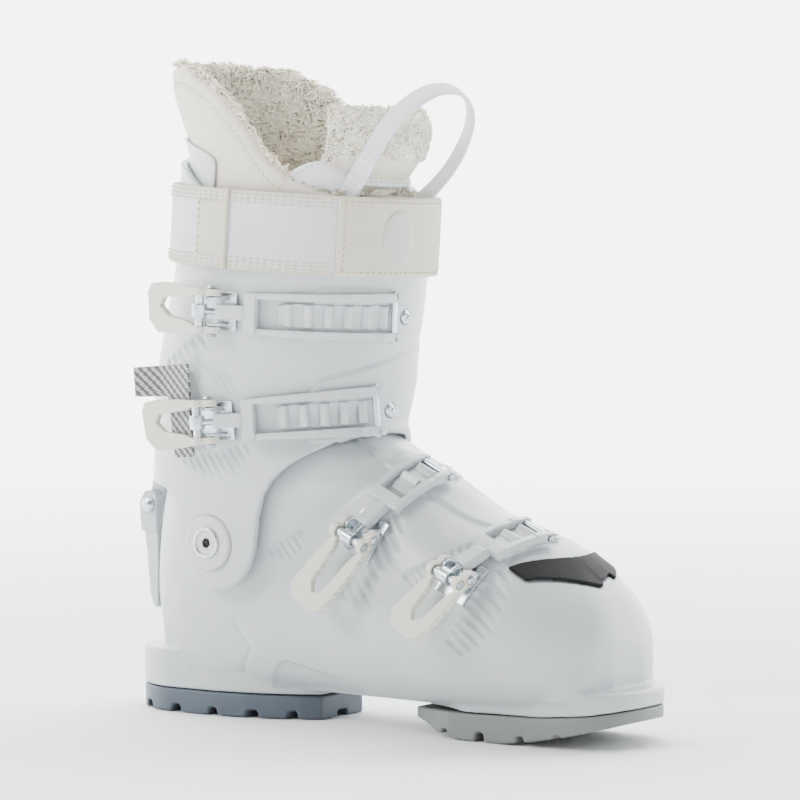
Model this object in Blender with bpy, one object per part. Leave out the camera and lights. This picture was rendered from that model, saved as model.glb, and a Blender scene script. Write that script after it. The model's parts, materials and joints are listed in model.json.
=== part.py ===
"""Right alpine ski boot: hollow lower shell, hinged cuff, four over-centre buckles,
power strap, fur-lined liner, rear strut and screwed-on walking soles.

All lengths are millimetres while modelling: toe towards +X, outer (lateral) side
towards -Y, +Z up, X = 0 at the middle of the sole.  Meshes are written in metres."""
import math

import bpy
from mathutils import Matrix, Vector
from mathutils.bvhtree import BVHTree

# ------------------------------------------------------------------ driving dimensions
HEEL_BACK = -143.0
TOE_TIP = 140.5
LUG_RADIUS = 35.0            # heel lug, also its half width
HEEL_LUG_TOP = 30.0
TOE_LUG_TOP = 25.5
SHELL_WALL = 3.6
CUFF_WALL = 3.5
GAP = 0.4                    # clearance between neighbouring pieces
PIVOT = (-73.4, 84.7)        # ankle pivot, x and z
FLOOR = 20.0                 # inside floor of the shell
BOOTBOARD_TOP = 26.0
LINER_WALL = 6.0
INSTEP_SEAM = -15.0        # seam between the heel and the instep of the liner
TOE_SEAM = 30.0            # seam between its instep and toe box
COLLAR_WALL = 8.5
STRAP_THICK = 3.0
STRAP_HEIGHT = 36.0
CENTRE_SHIFT = (3.2, 5.97, 0.0)

RING = 28                    # points round a section

# Foot of the shell: x, sole height, ridge height, height of the widest line,
# half width lateral, half width medial
FOOT = [
    (-118, 13.0, 96, 45, 30, 30), (-100, 13.0, 108, 45, 36, 36),
    (-60, 13.0, 120, 45, 40, 39), (-20, 13.0, 127, 45, 42.5, 41),
    (5, 13.0, 129, 46, 45, 43), (22, 13.0, 122.5, 46, 47.5, 45),
    (36, 13.0, 113.5, 46, 49, 47), (53, 13.0, 103, 46, 50.5, 49),
    (70, 13.0, 97.5, 46, 51, 50), (85, 13.5, 92, 45, 50, 50),
    (100, 14.0, 84, 44, 46.5, 47), (112, 14.5, 75.5, 42, 40.5, 41.5),
    (120, 15.5, 68, 41, 34, 35), (126, 16.5, 58.5, 40, 25, 26),
    (129, 18.5, 49, 38, 13, 14),
]
# Ankle part of the shell: z, back x, front x, half width
SHAFT = [
    (13, -126, -35, 30), (30, -131, -22, 33.5), (45, -134.5, -10, 36.5),
    (62, -135, 0, 40), (85, -132.3, 6, 43.5), (105, -128.8, 14, 44.2),
    (115, -124.0, 19, 43.4), (122, -119.0, 15, 41.8), (127, -115, 9, 40.2),
    (131, -112, 1.5, 38.8), (136, -109, -10, 37), (141, -107, -17, 35.5),
    (147, -105, -23, 34.5), (153, -103, -29, 33.5),
]
# Cuff outside: z, back x, front x, half width
CUFF = [
    (56, -136, 8, 48.6), (70, -136, 10, 49.4), (85, -136, 12, 50.2), (110, -134.5, 14, 52),
    (125, -132.5, 6, 53.5), (133, -131.5, -2, 54.3), (140, -130.5, -5, 55),
    (150, -129.5, -3, 55.8), (161, -128.3, -0.8, 56.3), (181, -124.5, 1, 56.5),
    (201, -119.5, 4, 56.3), (215, -116.3, 6.5, 56), (249, -114, 8.7, 55.5),
    (272, -113, 9, 55),
]
# Liner collar outside: z, back x, front x, half width
COLLAR = [
    (84, -126, -16, 38.0), (105, -120, -17, 35.8), (115, -113.5, -18, 34.4),
    (124, -108, -21, 33.6), (135, -110.5, -26, 33.6), (150, -121, -29, 35),
    (170, -121.5, -16, 45),
    (190, -117.6, -5.5, 51.2), (215, -111.8, 2.0, 51), (249, -109.6, 4.0, 50.6),
    (268, -109.0, 4.0, 50), (285, -116, 3, 49.5), (300, -121.5, -2, 49.5),
    (318, -121.5, -8, 48.5),
]

STEEL = ("zinc_steel", (0.62, 0.66, 0.70), 0.35, 1.0)
WHITE = ("white_shell", (0.80, 0.83, 0.85), 0.45, 0.0)
PALETTE = {
    "shell": WHITE,
    "cuff": ("white_cuff", (0.82, 0.85, 0.87), 0.45, 0.0),
    "frame": ("white_frame", (0.84, 0.86, 0.88), 0.35, 0.0),
    "cream": ("cream_lever", (0.78, 0.76, 0.70), 0.5, 0.0),
    "steel": STEEL,
    "seal": ("black_rubber", (0.02, 0.02, 0.02), 0.6, 0.0),
    "heel": ("grey_tread", (0.33, 0.36, 0.40), 0.55, 0.0),
    "toe": ("pale_tread", (0.48, 0.50, 0.48), 0.55, 0.0),
    "strap": ("white_webbing", (0.80, 0.81, 0.83), 0.8, 0.0),
    "felt": ("beige_felt", (0.62, 0.59, 0.50), 0.9, 0.0),
    "liner": ("beige_liner", (0.74, 0.71, 0.62), 0.85, 0.0),
    "fur": ("cream_fur", (0.80, 0.77, 0.68), 0.95, 0.0),
    "tape": ("white_tape", (0.86, 0.87, 0.88), 0.5, 0.0),
    "board": ("grey_board", (0.25, 0.26, 0.28), 0.6, 0.0),
    "print": ("grey_print", (0.45, 0.46, 0.47), 0.5, 0.0),
    "disc": ("offwhite_disc", (0.76, 0.76, 0.73), 0.4, 0.0),
}


# ------------------------------------------------------------------ mesh helpers
def finish_part(obj, look):
    """Give the piece its own material; metres and the final origin come later."""
    name, colour, rough, metal = PALETTE[look]
    mat = bpy.data.materials.new(name + "_" + obj.name)
    mat.use_nodes = True
    bsdf = mat.node_tree.nodes["Principled BSDF"]
    bsdf.inputs["Base Color"].default_value = (*colour, 1.0)
    bsdf.inputs["Roughness"].default_value = rough
    bsdf.inputs["Metallic"].default_value = metal
    obj.data.materials.clear()
    obj.data.materials.append(mat)
    return obj


def make(name, verts, faces):
    mesh = bpy.data.meshes.new(name)
    mesh.from_pydata([tuple(v) for v in verts], [], faces)
    mesh.validate()
    mesh.update()
    obj = bpy.data.objects.new(name, mesh)
    bpy.context.scene.collection.objects.link(obj)
    return obj


def loft(name, rings):
    """Closed solid through rings of equal point count, flat caps at both ends."""
    n = len(rings[0])
    verts = [p for ring in rings for p in ring]
    faces = [tuple(range(n - 1, -1, -1))]
    for r in range(len(rings) - 1):
        for i in range(n):
            j = (i + 1) % n
            faces.append((r * n + i, r * n + j, (r + 1) * n + j, (r + 1) * n + i))
    faces.append(tuple((len(rings) - 1) * n + i for i in range(n)))
    obj = make(name, verts, faces)
    outward(obj)
    return obj


def volume(mesh):
    total = 0.0
    mesh.calc_loop_triangles()
    for tri in mesh.loop_triangles:
        a, b, c = (mesh.vertices[i].co for i in tri.vertices)
        total += a.dot(b.cross(c))
    return total / 6.0


def outward(obj):
    if volume(obj.data) < 0:
        obj.data.flip_normals()


def boolean(obj, tool, operation):
    """Apply a boolean and remove its tool."""
    mod = obj.modifiers.new("cut", "BOOLEAN")
    mod.operation = operation
    mod.solver = "EXACT"
    mod.object = tool
    graph = bpy.context.evaluated_depsgraph_get()
    mesh = bpy.data.meshes.new_from_object(obj.evaluated_get(graph))
    obj.modifiers.clear()
    obj.data = mesh
    bpy.data.objects.remove(tool)
    return obj


def join(first, *others):
    for other in others:
        boolean(first, other, "UNION")
    return first


def cut(first, *others):
    for other in others:
        boolean(first, other, "DIFFERENCE")
    return first


def keep(first, *others):
    for other in others:
        boolean(first, other, "INTERSECT")
    return first


def prism_y(name, outline, y0, y1):
    """Side profile (x, z) extruded across the boot."""
    return loft(name, [[Vector((x, y, z)) for x, z in outline] for y in (y0, y1)])


def prism_z(name, outline, z0, z1):
    """Plan outline (x, y) extruded upwards."""
    return loft(name, [[Vector((x, y, z)) for x, y in outline] for z in (z0, z1)])


def prism(name, outline, frame, w0, w1):
    """Outline (s, n) in a local frame extruded along the frame's w axis."""
    return loft(name, [[frame @ Vector((s, w, n)) for s, n in outline] for w in (w0, w1)])


def plate(name, outline, frame, n0, n1):
    """Outline (s, w) in a local frame extruded along the frame's n axis."""
    return loft(name, [[frame @ Vector((s, w, n)) for s, w in outline] for n in (n0, n1)])


def rod(name, start, end, radius, sides=12, end_radius=None):
    """Cylinder, or cone, between two points."""
    start, end = Vector(start), Vector(end)
    axis = (end - start).normalized()
    side = axis.orthogonal().normalized()
    other = axis.cross(side)
    rings = []
    for centre, r in ((start, radius), (end, end_radius or radius)):
        rings.append([centre + r * (side * math.cos(a) + other * math.sin(a))
                      for a in (2 * math.pi * i / sides for i in range(sides))])
    return loft(name, rings)


def turned(name, start, direction, profile, sides=24):
    """Solid of revolution: profile rows are distance along the axis and radius."""
    start, axis = Vector(start), Vector(direction).normalized()
    side = axis.orthogonal().normalized()
    other = axis.cross(side)
    rings = [[start + axis * t + r * (side * math.cos(a) + other * math.sin(a))
              for a in (2 * math.pi * i / sides for i in range(sides))] for t, r in profile]
    return loft(name, rings)


# ------------------------------------------------------------------ smooth tables
def smooth(rows, t):
    """Row of values at t, a smooth curve through the rows keyed by their first value."""
    if t <= rows[0][0]:
        return [float(v) for v in rows[0][1:]]
    if t >= rows[-1][0]:
        return [float(v) for v in rows[-1][1:]]
    k = max(i for i in range(len(rows) - 1) if rows[i][0] <= t)
    a, b = rows[k], rows[k + 1]
    before, after = rows[max(k - 1, 0)], rows[min(k + 2, len(rows) - 1)]
    h = b[0] - a[0]
    u = (t - a[0]) / h
    out = []
    for c in range(1, len(a)):
        slope_a = (b[c] - before[c]) / (b[0] - before[0])
        slope_b = (after[c] - a[c]) / (after[0] - a[0])
        out.append((2 * u ** 3 - 3 * u ** 2 + 1) * a[c] + (u ** 3 - 2 * u ** 2 + u) * h * slope_a
                   + (-2 * u ** 3 + 3 * u ** 2) * b[c] + (u ** 3 - u ** 2) * h * slope_b)
    return out


def stations(start, end, count):
    return [start + (end - start) * i / (count - 1) for i in range(count)]


def unit_ring(power, count=RING):
    ring = []
    for i in range(count):
        a = 2 * math.pi * i / count
        c, s = math.cos(a), math.sin(a)
        ring.append((math.copysign(abs(c) ** (2 / power), c),
                     math.copysign(abs(s) ** (2 / power), s)))
    return ring


# ------------------------------------------------------------------ lofted bodies
def foot_solid(name, inset=0.0, floor=None, start=-118.0):
    """Foot-shaped solid; inset shrinks it evenly, floor lifts its underside."""
    rings = []
    xs = stations(start + inset, 100, 13) + [108, 114, 119, 123, 126, 129]
    for x in xs:
        low, high, wide, lateral, medial = smooth(FOOT, x)
        power = 2.25
        low = low + inset if floor is None else max(low + 2.0, floor)
        high, lateral, medial = high - inset, lateral - inset, medial - inset
        wide = min(max(wide, low + 6), high - 6)
        shift = inset * max(0.0, min(1.0, (x - 60) / 60.0))
        ring = []
        for cy, cz in unit_ring(power):
            flat = 0.62 if cz < 0 else 1.0
            y = math.copysign(abs(cy) ** (flat if cz < 0 else 1.0), cy)
            y *= medial if cy > 0 else lateral
            z = wide + cz * ((high - wide) if cz > 0 else (wide - low))
            ring.append(Vector((x - shift, y, z)))
        rings.append(ring)
    return loft(name, rings)


def tube_solid(name, rows, z0, z1, count, inset=0.0, power=2.15):
    """Upright oval solid from rows of z, back x, front x, half width."""
    rings = []
    for z in stations(z0, z1, count):
        back, front, half = smooth(rows, z)
        middle, depth = (back + front) / 2, (front - back) / 2 - inset
        ring = [Vector((middle + cx * depth, cy * (half - inset), z))
                for cx, cy in unit_ring(power)]
        rings.append(ring)
    return loft(name, rings)


def heel_outline(inset=0.0, steps=14):
    """Plan outline of the heel: round behind, drawn in towards the waist."""
    centre = HEEL_BACK + LUG_RADIUS
    points = []
    for i in range(steps + 1):
        a = math.pi / 2 + math.pi * i / steps
        points.append((centre + (LUG_RADIUS - inset) * math.cos(a),
                       (LUG_RADIUS - inset) * math.sin(a)))
    side = [(-82, 34.6), (-66, 32.2), (-52, 28.0), (-40, 22.6), (-31 - inset, 17.0)]
    points += [(x, -y + inset) for x, y in side]
    return points + [(x, y - inset) for x, y in reversed(side)]


def toe_outline(rear, half_rear, half, tip, inset=0.0, steps=18):
    points = [(rear + inset, half_rear - inset), (rear + inset, -half_rear + inset),
              (rear + 24, -half + inset)]
    centre = tip - 31.0
    for i in range(steps + 1):
        a = -math.pi / 2 + math.pi * i / steps
        c, s = math.cos(a), math.sin(a)
        points.append((centre + (31.0 - inset) * abs(c) ** 0.9,
                       (half - inset) * math.copysign(abs(s) ** 0.9, s)))
    return points + [(rear + 24, half - inset)]


# ------------------------------------------------------------------ band paths
class Band:
    """A path round a body in one plane: s along the path, w across, n outwards."""

    def __init__(self, tree, centre, across, zero_dir, angles, lift=0.0):
        self.w = Vector(across).normalized()
        u = Vector(zero_dir)
        u = (u - self.w * u.dot(self.w)).normalized()
        v = self.w.cross(u)
        if v.x + v.z < 0:
            v = -v
        centre = Vector(centre)
        raw = []
        for angle in angles:
            a = math.radians(angle)
            ray = u * math.cos(a) + v * math.sin(a)
            hit = tree.ray_cast(centre + ray * 200, -ray)[0]
            raw.append((ray, (hit - centre).length + lift))
        radii = [r for _, r in raw]
        for _ in range(3):
            radii = [radii[0]] + [(radii[i - 1] + 2 * radii[i] + radii[i + 1]) / 4
                                  for i in range(1, len(radii) - 1)] + [radii[-1]]
        self.points = [centre + ray * r for (ray, _), r in zip(raw, radii)]
        self.lengths = [0.0]
        for a, b in zip(self.points, self.points[1:]):
            self.lengths.append(self.lengths[-1] + (b - a).length)
        self.centre = centre
        self.origin = 0.0
        self.set_origin(self.lengths[angles.index(0)])

    def set_origin(self, length):
        self.origin = length

    def place(self, s):
        """Point, tangent and outward normal at s."""
        t = s + self.origin
        k = 0
        while k < len(self.lengths) - 2 and self.lengths[k + 1] < t:
            k += 1
        a, b = self.points[k], self.points[k + 1]
        point = a.lerp(b, (t - self.lengths[k]) / (self.lengths[k + 1] - self.lengths[k]))

        def tangent(i):
            i0, i1 = max(i - 1, 0), min(i + 1, len(self.points) - 1)
            return (self.points[i1] - self.points[i0]).normalized()
        f = (t - self.lengths[k]) / (self.lengths[k + 1] - self.lengths[k])
        along = tangent(k).lerp(tangent(k + 1), min(max(f, 0), 1)).normalized()
        normal = along.cross(self.w).normalized()
        if normal.dot(point - self.centre) < 0:
            normal = -normal
        return point, along, normal

    def at(self, s, w, n):
        point, _, normal = self.place(s)
        return point + self.w * w + normal * n

    def frame(self, s, n=0.0):
        """Matrix from local (s, w, n) to the boot at this place."""
        point, along, normal = self.place(s)
        mat = Matrix.Identity(4)
        for row in range(3):
            mat[row][0], mat[row][1], mat[row][2] = along[row], self.w[row], normal[row]
            mat[row][3] = (point + normal * n)[row]
        return mat

    def bar(self, name, s0, s1, w0, w1, n0, n1, steps=2):
        """Rectangular bar that follows the path; w or n may change from end to end."""
        rings = []
        for i in range(steps + 1):
            f = i / steps
            s = s0 + (s1 - s0) * f
            wa, wb = pick(w0, f), pick(w1, f)
            na, nb = pick(n0, f), pick(n1, f)
            rings.append([self.at(s, wa, na), self.at(s, wb, na),
                          self.at(s, wb, nb), self.at(s, wa, nb)])
        return loft(name, rings)


def pick(value, f):
    if isinstance(value, tuple):
        return value[0] + (value[1] - value[0]) * f
    return value


def tree_of(obj):
    mesh = obj.data
    return BVHTree.FromPolygons([v.co.copy() for v in mesh.vertices],
                                [tuple(p.vertices) for p in mesh.polygons])


# ------------------------------------------------------------------ shell
def outer_shell(name):
    body = foot_solid(name)
    return join(body, tube_solid("shaft", SHAFT, 13, 153, 16))


def heel_lug():
    return prism_z("heel_lug", heel_outline(), 11.5, HEEL_LUG_TOP)


def toe_lug():
    lug = prism_z("toe_lug", toe_outline(38, 26, 34.5, TOE_TIP), 8, TOE_LUG_TOP)
    side = [(30, 14.5), (60, 13.2), (100, 13.6), (125, 15.6), (150, 19.4),
            (150, 26), (108, 26), (100, 23), (60, 21), (30, 19)]
    return keep(lug, prism_y("side", side, -60, 60))


def toe_wall():
    """Upright foot of the toe box, so that nothing overhangs the toe ledge."""
    left, right = [], []
    for x in stations(106, 129, 10):
        _, _, _, lateral, medial = smooth(FOOT, x)
        share = 0.84 + 0.16 * min((x - 106) / 14.0, 1.0)
        left.append((x, -lateral * share))
        right.append((x, medial * share))
    return prism_z("toe_wall", left + right[::-1], 21, 37)


def lower_shell():
    """Hollow shell with both lugs; its waist stays clear of the ground."""
    shell = outer_shell("lower_shell")
    join(shell, toe_wall(), heel_lug(), toe_lug())
    cut(shell, prism_y("arch", [(-150, 5), (150, 5), (150, 12), (-150, 11.5)], -70, 70))
    hollow = foot_solid("hollow", SHELL_WALL, FLOOR)
    join(hollow, tube_solid("shaft", SHAFT, FLOOR, 153, 15, SHELL_WALL))
    cut(shell, hollow)
    top = [(-160, 116), (-100, 116), (-60, 118), (-45, 124), (-34, 134), (-27, 143), (-20, 147.5),
           (30, 175), (30, 200), (-160, 200)]
    cut(shell, prism_y("rim", top, -90, 90))
    cut(shell, seal_pocket(), *screw_wells(), *rivet_holes(), instep_seam())
    return finish_part(shell, "shell")


def instep_seam():
    """Edge of the overlapping flap that runs down the outer side of the instep."""
    tree = FORM["tree"]
    rings = []
    for x, y in ((-8, -15), (6, -17), (22, -17.5), (40, -17), (58, -16), (74, -15)):
        hit, normal = drop(tree, x, y)
        side = normal.cross(Vector((1, 0, 0))).normalized()
        rings.append([hit + side * a + normal * b
                      for a, b in ((-0.5, -1.0), (0.5, -1.0), (0.6, 2.0), (-0.6, 2.0))])
    return loft("seam", rings)


def drop(tree, x, y):
    hit, normal, _, _ = tree.ray_cast(Vector((x, y, 300)), Vector((0, 0, -1)))
    return hit, normal


def crescent(name, grow, low, high):
    """Curved patch across the top of the toe box, between two depths below its skin."""
    tree = FORM["tree"]
    count = 15
    rings = []
    for i in range(count):
        f = -1 + 2 * i / (count - 1)
        y = f * (35.0 + grow)
        rear = 101.5 - 15.0 * f * f - grow
        length = 16.5 * (1 - 0.42 * abs(f)) + 2 * grow
        notch = 3.4 if abs(f - 0.12) < 0.2 else 0.0
        ring = []
        for x, depth in ((rear, low), (rear + length - notch, low),
                         (rear + length - notch, high), (rear, high)):
            hit, normal = drop(tree, x, y)
            ring.append(hit + normal * depth)
        rings.append(ring)
    return loft(name, rings)


def seal_pocket():
    return crescent("pocket", GAP + 0.1, -1.2, 6.0)


def toe_seal():
    return finish_part(crescent("toe_seal", 0.0, -0.5, 1.4), "seal")


def screw_wells():
    return [rod("well", (x, 0, 5), (x, 0, 16.5), 2.3) for x in (-96, 88)]


def rivet_holes():
    holes = []
    for side in (-1, 1):
        axis = [(PIVOT[0], side * y, PIVOT[1]) for y in (20, 41.3, 70)]
        holes += [rod("hole", axis[0], axis[2], 4.4), rod("well", axis[0], axis[1], 8.0)]
    return holes


# ------------------------------------------------------------------ soles
def heel_sole():
    sole = prism_z("heel_sole", heel_outline(0.4), 0, 11.5 - GAP)
    cut(sole, prism_y("bevel", [(-150, -1), (-131, -1), (-140, 4.5), (-150, 7)], -60, 60))
    for x, width in ((-126, 7), (-106, 7), (-84, 6.5), (-63, 7.5), (-44, 6)):
        groove = [(x - width / 2, -1), (x + width / 2, -1), (x + width / 3, 3.6),
                  (x - width / 3, 3.6)]
        cut(sole, prism_y("groove", groove, -60, 60))
    cut(sole, prism_z("split", [(-121, -4), (-28, -4), (-28, 4), (-121, 4)], -1, 3.0))
    cut(sole, rod("well", (-96, 0, -1), (-96, 0, 14), 2.3),
        rod("head", (-96, 0, -1), (-96, 0, 7.0), 5.4))
    return finish_part(sole, "heel")


def toe_sole():
    sole = prism_z("toe_sole", toe_outline(29, 25, 34.5, TOE_TIP, 0.3), -2, 25)
    side = [(28, 7.5), (36, 5.5), (45, 2), (58, 0), (82, 0), (97, 1.9), (115, 5.4), (131, 9.4),
            (150, 14.5), (150, 18.9), (125, 15.2), (100, 13.2), (60, 12.3), (28, 12.3)]
    keep(sole, prism_y("side", side, -60, 60))
    for x, width in ((50, 6), (70, 6), (92, 5), (112, 5)):
        lift = 4.2 if x < 100 else 6.2
        groove = [(x - width / 2, -3), (x + width / 2, -3), (x + width / 3, lift),
                  (x - width / 3, lift)]
        cut(sole, prism_y("groove", groove, -60, 60))
    cut(sole, rod("well", (88, 0, -1), (88, 0, 14), 2.3),
        rod("head", (88, 0, -1), (88, 0, 7.5), 5.4))
    return finish_part(sole, "toe")


def sole_screw(name, x, head):
    """Countersunk cap screw pointing up, hex socket in its head."""
    body = turned(name, (x, 0, head), (0, 0, 1), [(0, 4.2), (0.5, 4.6), (2.6, 4.6), (2.6, 1.9),
                                                 (9.0 if x < 0 else 8.4, 1.9)], 14)
    cut(body, rod("hex", (x, 0, head - 1), (x, 0, head + 1.7), 2.1, 6))
    return finish_part(body, "steel")


# ------------------------------------------------------------------ inside
def bootboard():
    board = foot_solid("bootboard", SHELL_WALL + GAP, FLOOR + GAP)
    join(board, tube_solid("heel", SHAFT, FLOOR + GAP, 60, 10, SHELL_WALL + GAP))
    keep(board, prism_y("slab", [(-170, 10), (98, 10), (98, 24.0), (40, BOOTBOARD_TOP),
                                 (-170, BOOTBOARD_TOP)], -90, 90))
    return finish_part(board, "board")


def ray_wedge(name, front_angle, back_angle, upper):
    """Region above, or below, two rays that start at the ankle pivot."""
    px, pz = PIVOT
    front = (px + 400 * math.cos(math.radians(front_angle)),
             pz + 400 * math.sin(math.radians(front_angle)))
    back = (px - 400 * math.cos(math.radians(back_angle)),
            pz + 400 * math.sin(math.radians(back_angle)))
    if upper:
        outline = [back, (px, pz), front, (400, 700), (-500, 700)]
    else:
        outline = [(px, pz), back, (-500, -100), (500, -100), front]
    return prism_y(name, outline, -120, 120)


def liner_body(name, inset):
    body = foot_solid(name, SHELL_WALL + inset, BOOTBOARD_TOP + inset)
    return join(body, tube_solid("ankle", SHAFT, BOOTBOARD_TOP + inset, 146, 12,
                                 SHELL_WALL + 0.8 + inset))


def liner_wall(name):
    """Padded wall of the liner below the ankle."""
    body = liner_body(name, 1.3)
    keep(body, ray_wedge("below", 35, 0, False))
    return cut(body, liner_body("inner", 1.3 + LINER_WALL))


def liner_piece(name, back, front):
    """The liner's wall between two seams across the foot."""
    body = liner_wall(name)
    keep(body, prism_y("between", [(back, -10), (front, -10), (front, 300), (back, 300)], -90, 90))
    return finish_part(body, "liner")


def liner_pieces():
    """Heel, instep and toe box of the liner, seamed together."""
    liner_piece("liner_foot", -200, INSTEP_SEAM - GAP / 2)
    liner_piece("liner_instep", INSTEP_SEAM + GAP / 2, TOE_SEAM - GAP / 2)
    liner_piece("liner_toe", TOE_SEAM + GAP / 2, 200)


def footbed():
    bed = liner_body("footbed", 1.3 + LINER_WALL + GAP)
    keep(bed, prism_y("slab", [(-170, 20), (112, 20), (112, 36.5), (60, 36.8), (0, 38),
                               (-170, 38.5)], -90, 90))
    return finish_part(bed, "board")


def collar_solid(name, inset):
    return tube_solid(name, COLLAR, 84, 318, 20, inset)


def liner_shaft():
    body = collar_solid("liner_shaft", 0.0)
    cut(body, collar_solid("inner", COLLAR_WALL))
    keep(body, ray_wedge("above", 39, 11, True))
    rim = [(-200, 312), (-112, 313), (-92, 311), (-76, 303), (-58, 288), (-42, 268), (-28, 256),
           (-12, 250), (60, 250), (60, 400), (-200, 400)]
    cut(body, prism_y("rim", rim, -120, 120))
    return finish_part(body, "liner")


def tongue_section(z):
    """Centre x, half depth and half width of the tongue's outside at a height."""
    rows = [(128, -70, 37.5, 25), (150, -72, 33.0, 25.5), (160, -70.5, 35.5, 28), (170, -68, 41.2, 33.5),
            (190, -62, 46.2, 40), (215, -56.6, 48.2, 40), (246, -54.8, 48.8, 39.6),
            (251, -54.6, 49.0, 39.4), (258, -52.5, 55.5, 38), (268, -51, 61.5, 38),
            (280, -50, 64, 38), (289, -50, 61, 37.5)]
    return smooth(rows, z)


def liner_tongue():
    """Padded tongue: a curved panel that rolls outwards above the strap."""
    outer, inner = [], []
    rings = []
    for z in stations(128, 246, 7) + [251, 254.5, 259, 266, 274, 282, 289]:
        cx, depth, half = tongue_section(z)
        thick = 6.5 + 5.5 * min(max((z - 238) / 30.0, 0), 1)
        if z > 284:
            thick *= 0.7
        spread = 56
        ring = []
        for i in range(11):
            a = math.radians(-spread + 2 * spread * i / 10)
            ring.append(Vector((cx + depth * math.cos(a), half * math.sin(a), z)))
        for i in range(10, -1, -1):
            a = math.radians(-spread + 2 * spread * i / 10)
            ring.append(Vector((cx + (depth - thick) * math.cos(a),
                                (half - thick) * math.sin(a), z)))
        rings.append(ring)
    return finish_part(loft("liner_tongue", rings), "fur")


def pull_loop():
    """Tape loop standing on the front of the tongue."""
    path = [(-5, -27.5, 254), (2, -26.5, 265), (9.5, -22.5, 279), (16.5, -14, 290.5),
            (23, -4, 297.5), (28, 6, 298.5), (30, 14, 294.5), (29.5, 19, 286), (24.5, 21, 274),
            (16.5, 21.5, 262.5), (8, 21, 253.5)]
    points = [Vector(p) for p in path]
    rings = []
    middle = Vector((10, 2, 272))
    for i, p in enumerate(points):
        along = (points[min(i + 1, len(points) - 1)] - points[max(i - 1, 0)]).normalized()
        out = (p - middle)
        out = (out - along * out.dot(along)).normalized()
        across = along.cross(out)
        rings.append([p + across * a + out * b for a, b in
                      ((-5.5, -0.8), (5.5, -0.8), (5.5, 0.8), (-5.5, 0.8))])
    return finish_part(loft("pull_loop", rings), "tape")


# ------------------------------------------------------------------ cuff
def cuff_solid(name, inset):
    return tube_solid(name, CUFF, 56, 272, 24, inset)


def cuff():
    body = cuff_solid("cuff", 0.0)
    cut(body, cuff_solid("inner", CUFF_WALL))
    edge = [(-160, 111), (-128, 111), (-106, 109), (-98, 104), (-94.5, 96), (-93.5, 85)]
    for i in range(11):
        a = math.radians(200 + 140 * i / 10)
        edge.append((-70.5 + 22.5 * math.cos(a), 84.5 + 22.5 * math.sin(a)))
    edge += [(-47.3, 83), (-45, 97), (-41.5, 108.6), (-36.5, 116), (-29, 123), (-18, 130.5),
             (-10, 136), (-2, 139), (30, 141)]
    edge += [(60, 141), (60, 20), (-200, 20), (-200, 111)]
    cut(body, prism_y("edge", edge, -120, 120))
    top = [(-200, 268), (-112, 268), (-92, 262), (-62, 244), (-20, 238), (60, 234), (60, 300),
           (-200, 300)]
    cut(body, prism_y("top", top, -120, 120))
    # lug for the rear strut and the bosses that carry it into the wall
    lug = prism_y("lug", [(-128.6, 106), (-128.6, 132), (-132.5, 132), (-143, 112), (-146, 99),
                          (-143.5, 91.5), (-139, 91.5), (-136.2, 100), (-134.2, 111)], -5.5, 5.5)
    join(body, lug)
    px, pz = PIN
    cut(body, rod("pin_hole", (px, -20, pz), (px, 20, pz), 2.6))
    for side in (-1, 1):
        cut(body, rod("hole", (PIVOT[0], side * 30, PIVOT[1]), (PIVOT[0], side * 70, PIVOT[1]), 4.4))
        cut(body, rod("recess", (PIVOT[0], side * 49.0, PIVOT[1]),
                      (PIVOT[0], side * 70, PIVOT[1]), 13.6, 32))
    cut(body, overlap_groove())
    return finish_part(body, "cuff")


def overlap_groove():
    """Edge of the outer front flap, a shallow step down the inner front of the cuff."""
    rings = []
    for z in stations(126, 249, 8):
        back, front, half = smooth(CUFF, z)
        middle, depth = (back + front) / 2, (front - back) / 2
        a = math.radians(22.3 + 0.05 * (z - 126))
        ring = []
        for da, r in ((-0.7, 0.984), (0.9, 0.984), (1.1, 1.04), (-0.9, 1.04)):
            b = a + math.radians(da)
            c, s = math.cos(b), math.sin(b)
            ring.append(Vector((middle + depth * r * c ** (2 / 2.15),
                                half * r * s ** (2 / 2.15), z)))
        rings.append(ring)
    return loft("groove", rings)


def ankle_rivet(name, side):
    """Two-part ankle rivet: wide disc outside, stem through cuff and shell."""
    x, z = PIVOT
    profile = [(0, 7.5), (1.4, 7.5), (1.4, 4.0), (9.9, 4.0), (9.9, 13.0), (11.0, 13.2),
               (12.0, 12.2), (12.2, 7.4), (12.9, 6.6), (12.9, 4.0)]
    base = Vector((x, side * 39.5, z))
    body = turned(name, base, (0, side, 0), profile, 18)
    cut(body, rod("hex", base + Vector((0, side * 9.8, 0)),
                  base + Vector((0, side * 20, 0)), 2.6, 6))
    return finish_part(body, "disc")


PIN = (-141.0, 97.0)         # rear strut pin, x and z


def rear_strut():
    """Strut behind the heel with a forked head round the cuff's lug."""
    side = [(-136.4, 101.5), (-139.0, 104.5), (-143.5, 104), (-146.6, 99), (-146.9, 93),
            (-144.0, 72), (-141.4, 52), (-138.6, 46.5), (-136.2, 46.5), (-135.9, 60),
            (-136.1, 86)]
    body = prism_y("rear_strut", side, -11.5, 11.5)
    cut(body, prism_y("fork", [(-150, 88), (-130, 88), (-130, 110), (-150, 110)], -5.9, 5.9))
    px, pz = PIN
    cut(body, rod("hole", (px, -20, pz), (px, 20, pz), 2.6))
    for y in (-1, 1):
        corner = [(-160, y * 7.0), (-160, y * 20), (-130, y * 20), (-130, y * 11.5)]
        cut(body, prism_z("chamfer", corner, 30, 84))
    return finish_part(body, "frame")


def strut_pin():
    px, pz = PIN
    return finish_part(turned("strut_pin", (px, -14.2, pz), (0, 1, 0),
                              [(0, 1.6), (0.9, 3.2), (2.2, 4.0), (2.2, 2.3), (25.6, 2.3),
                               (26.0, 2.0)], 14), "steel")


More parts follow.
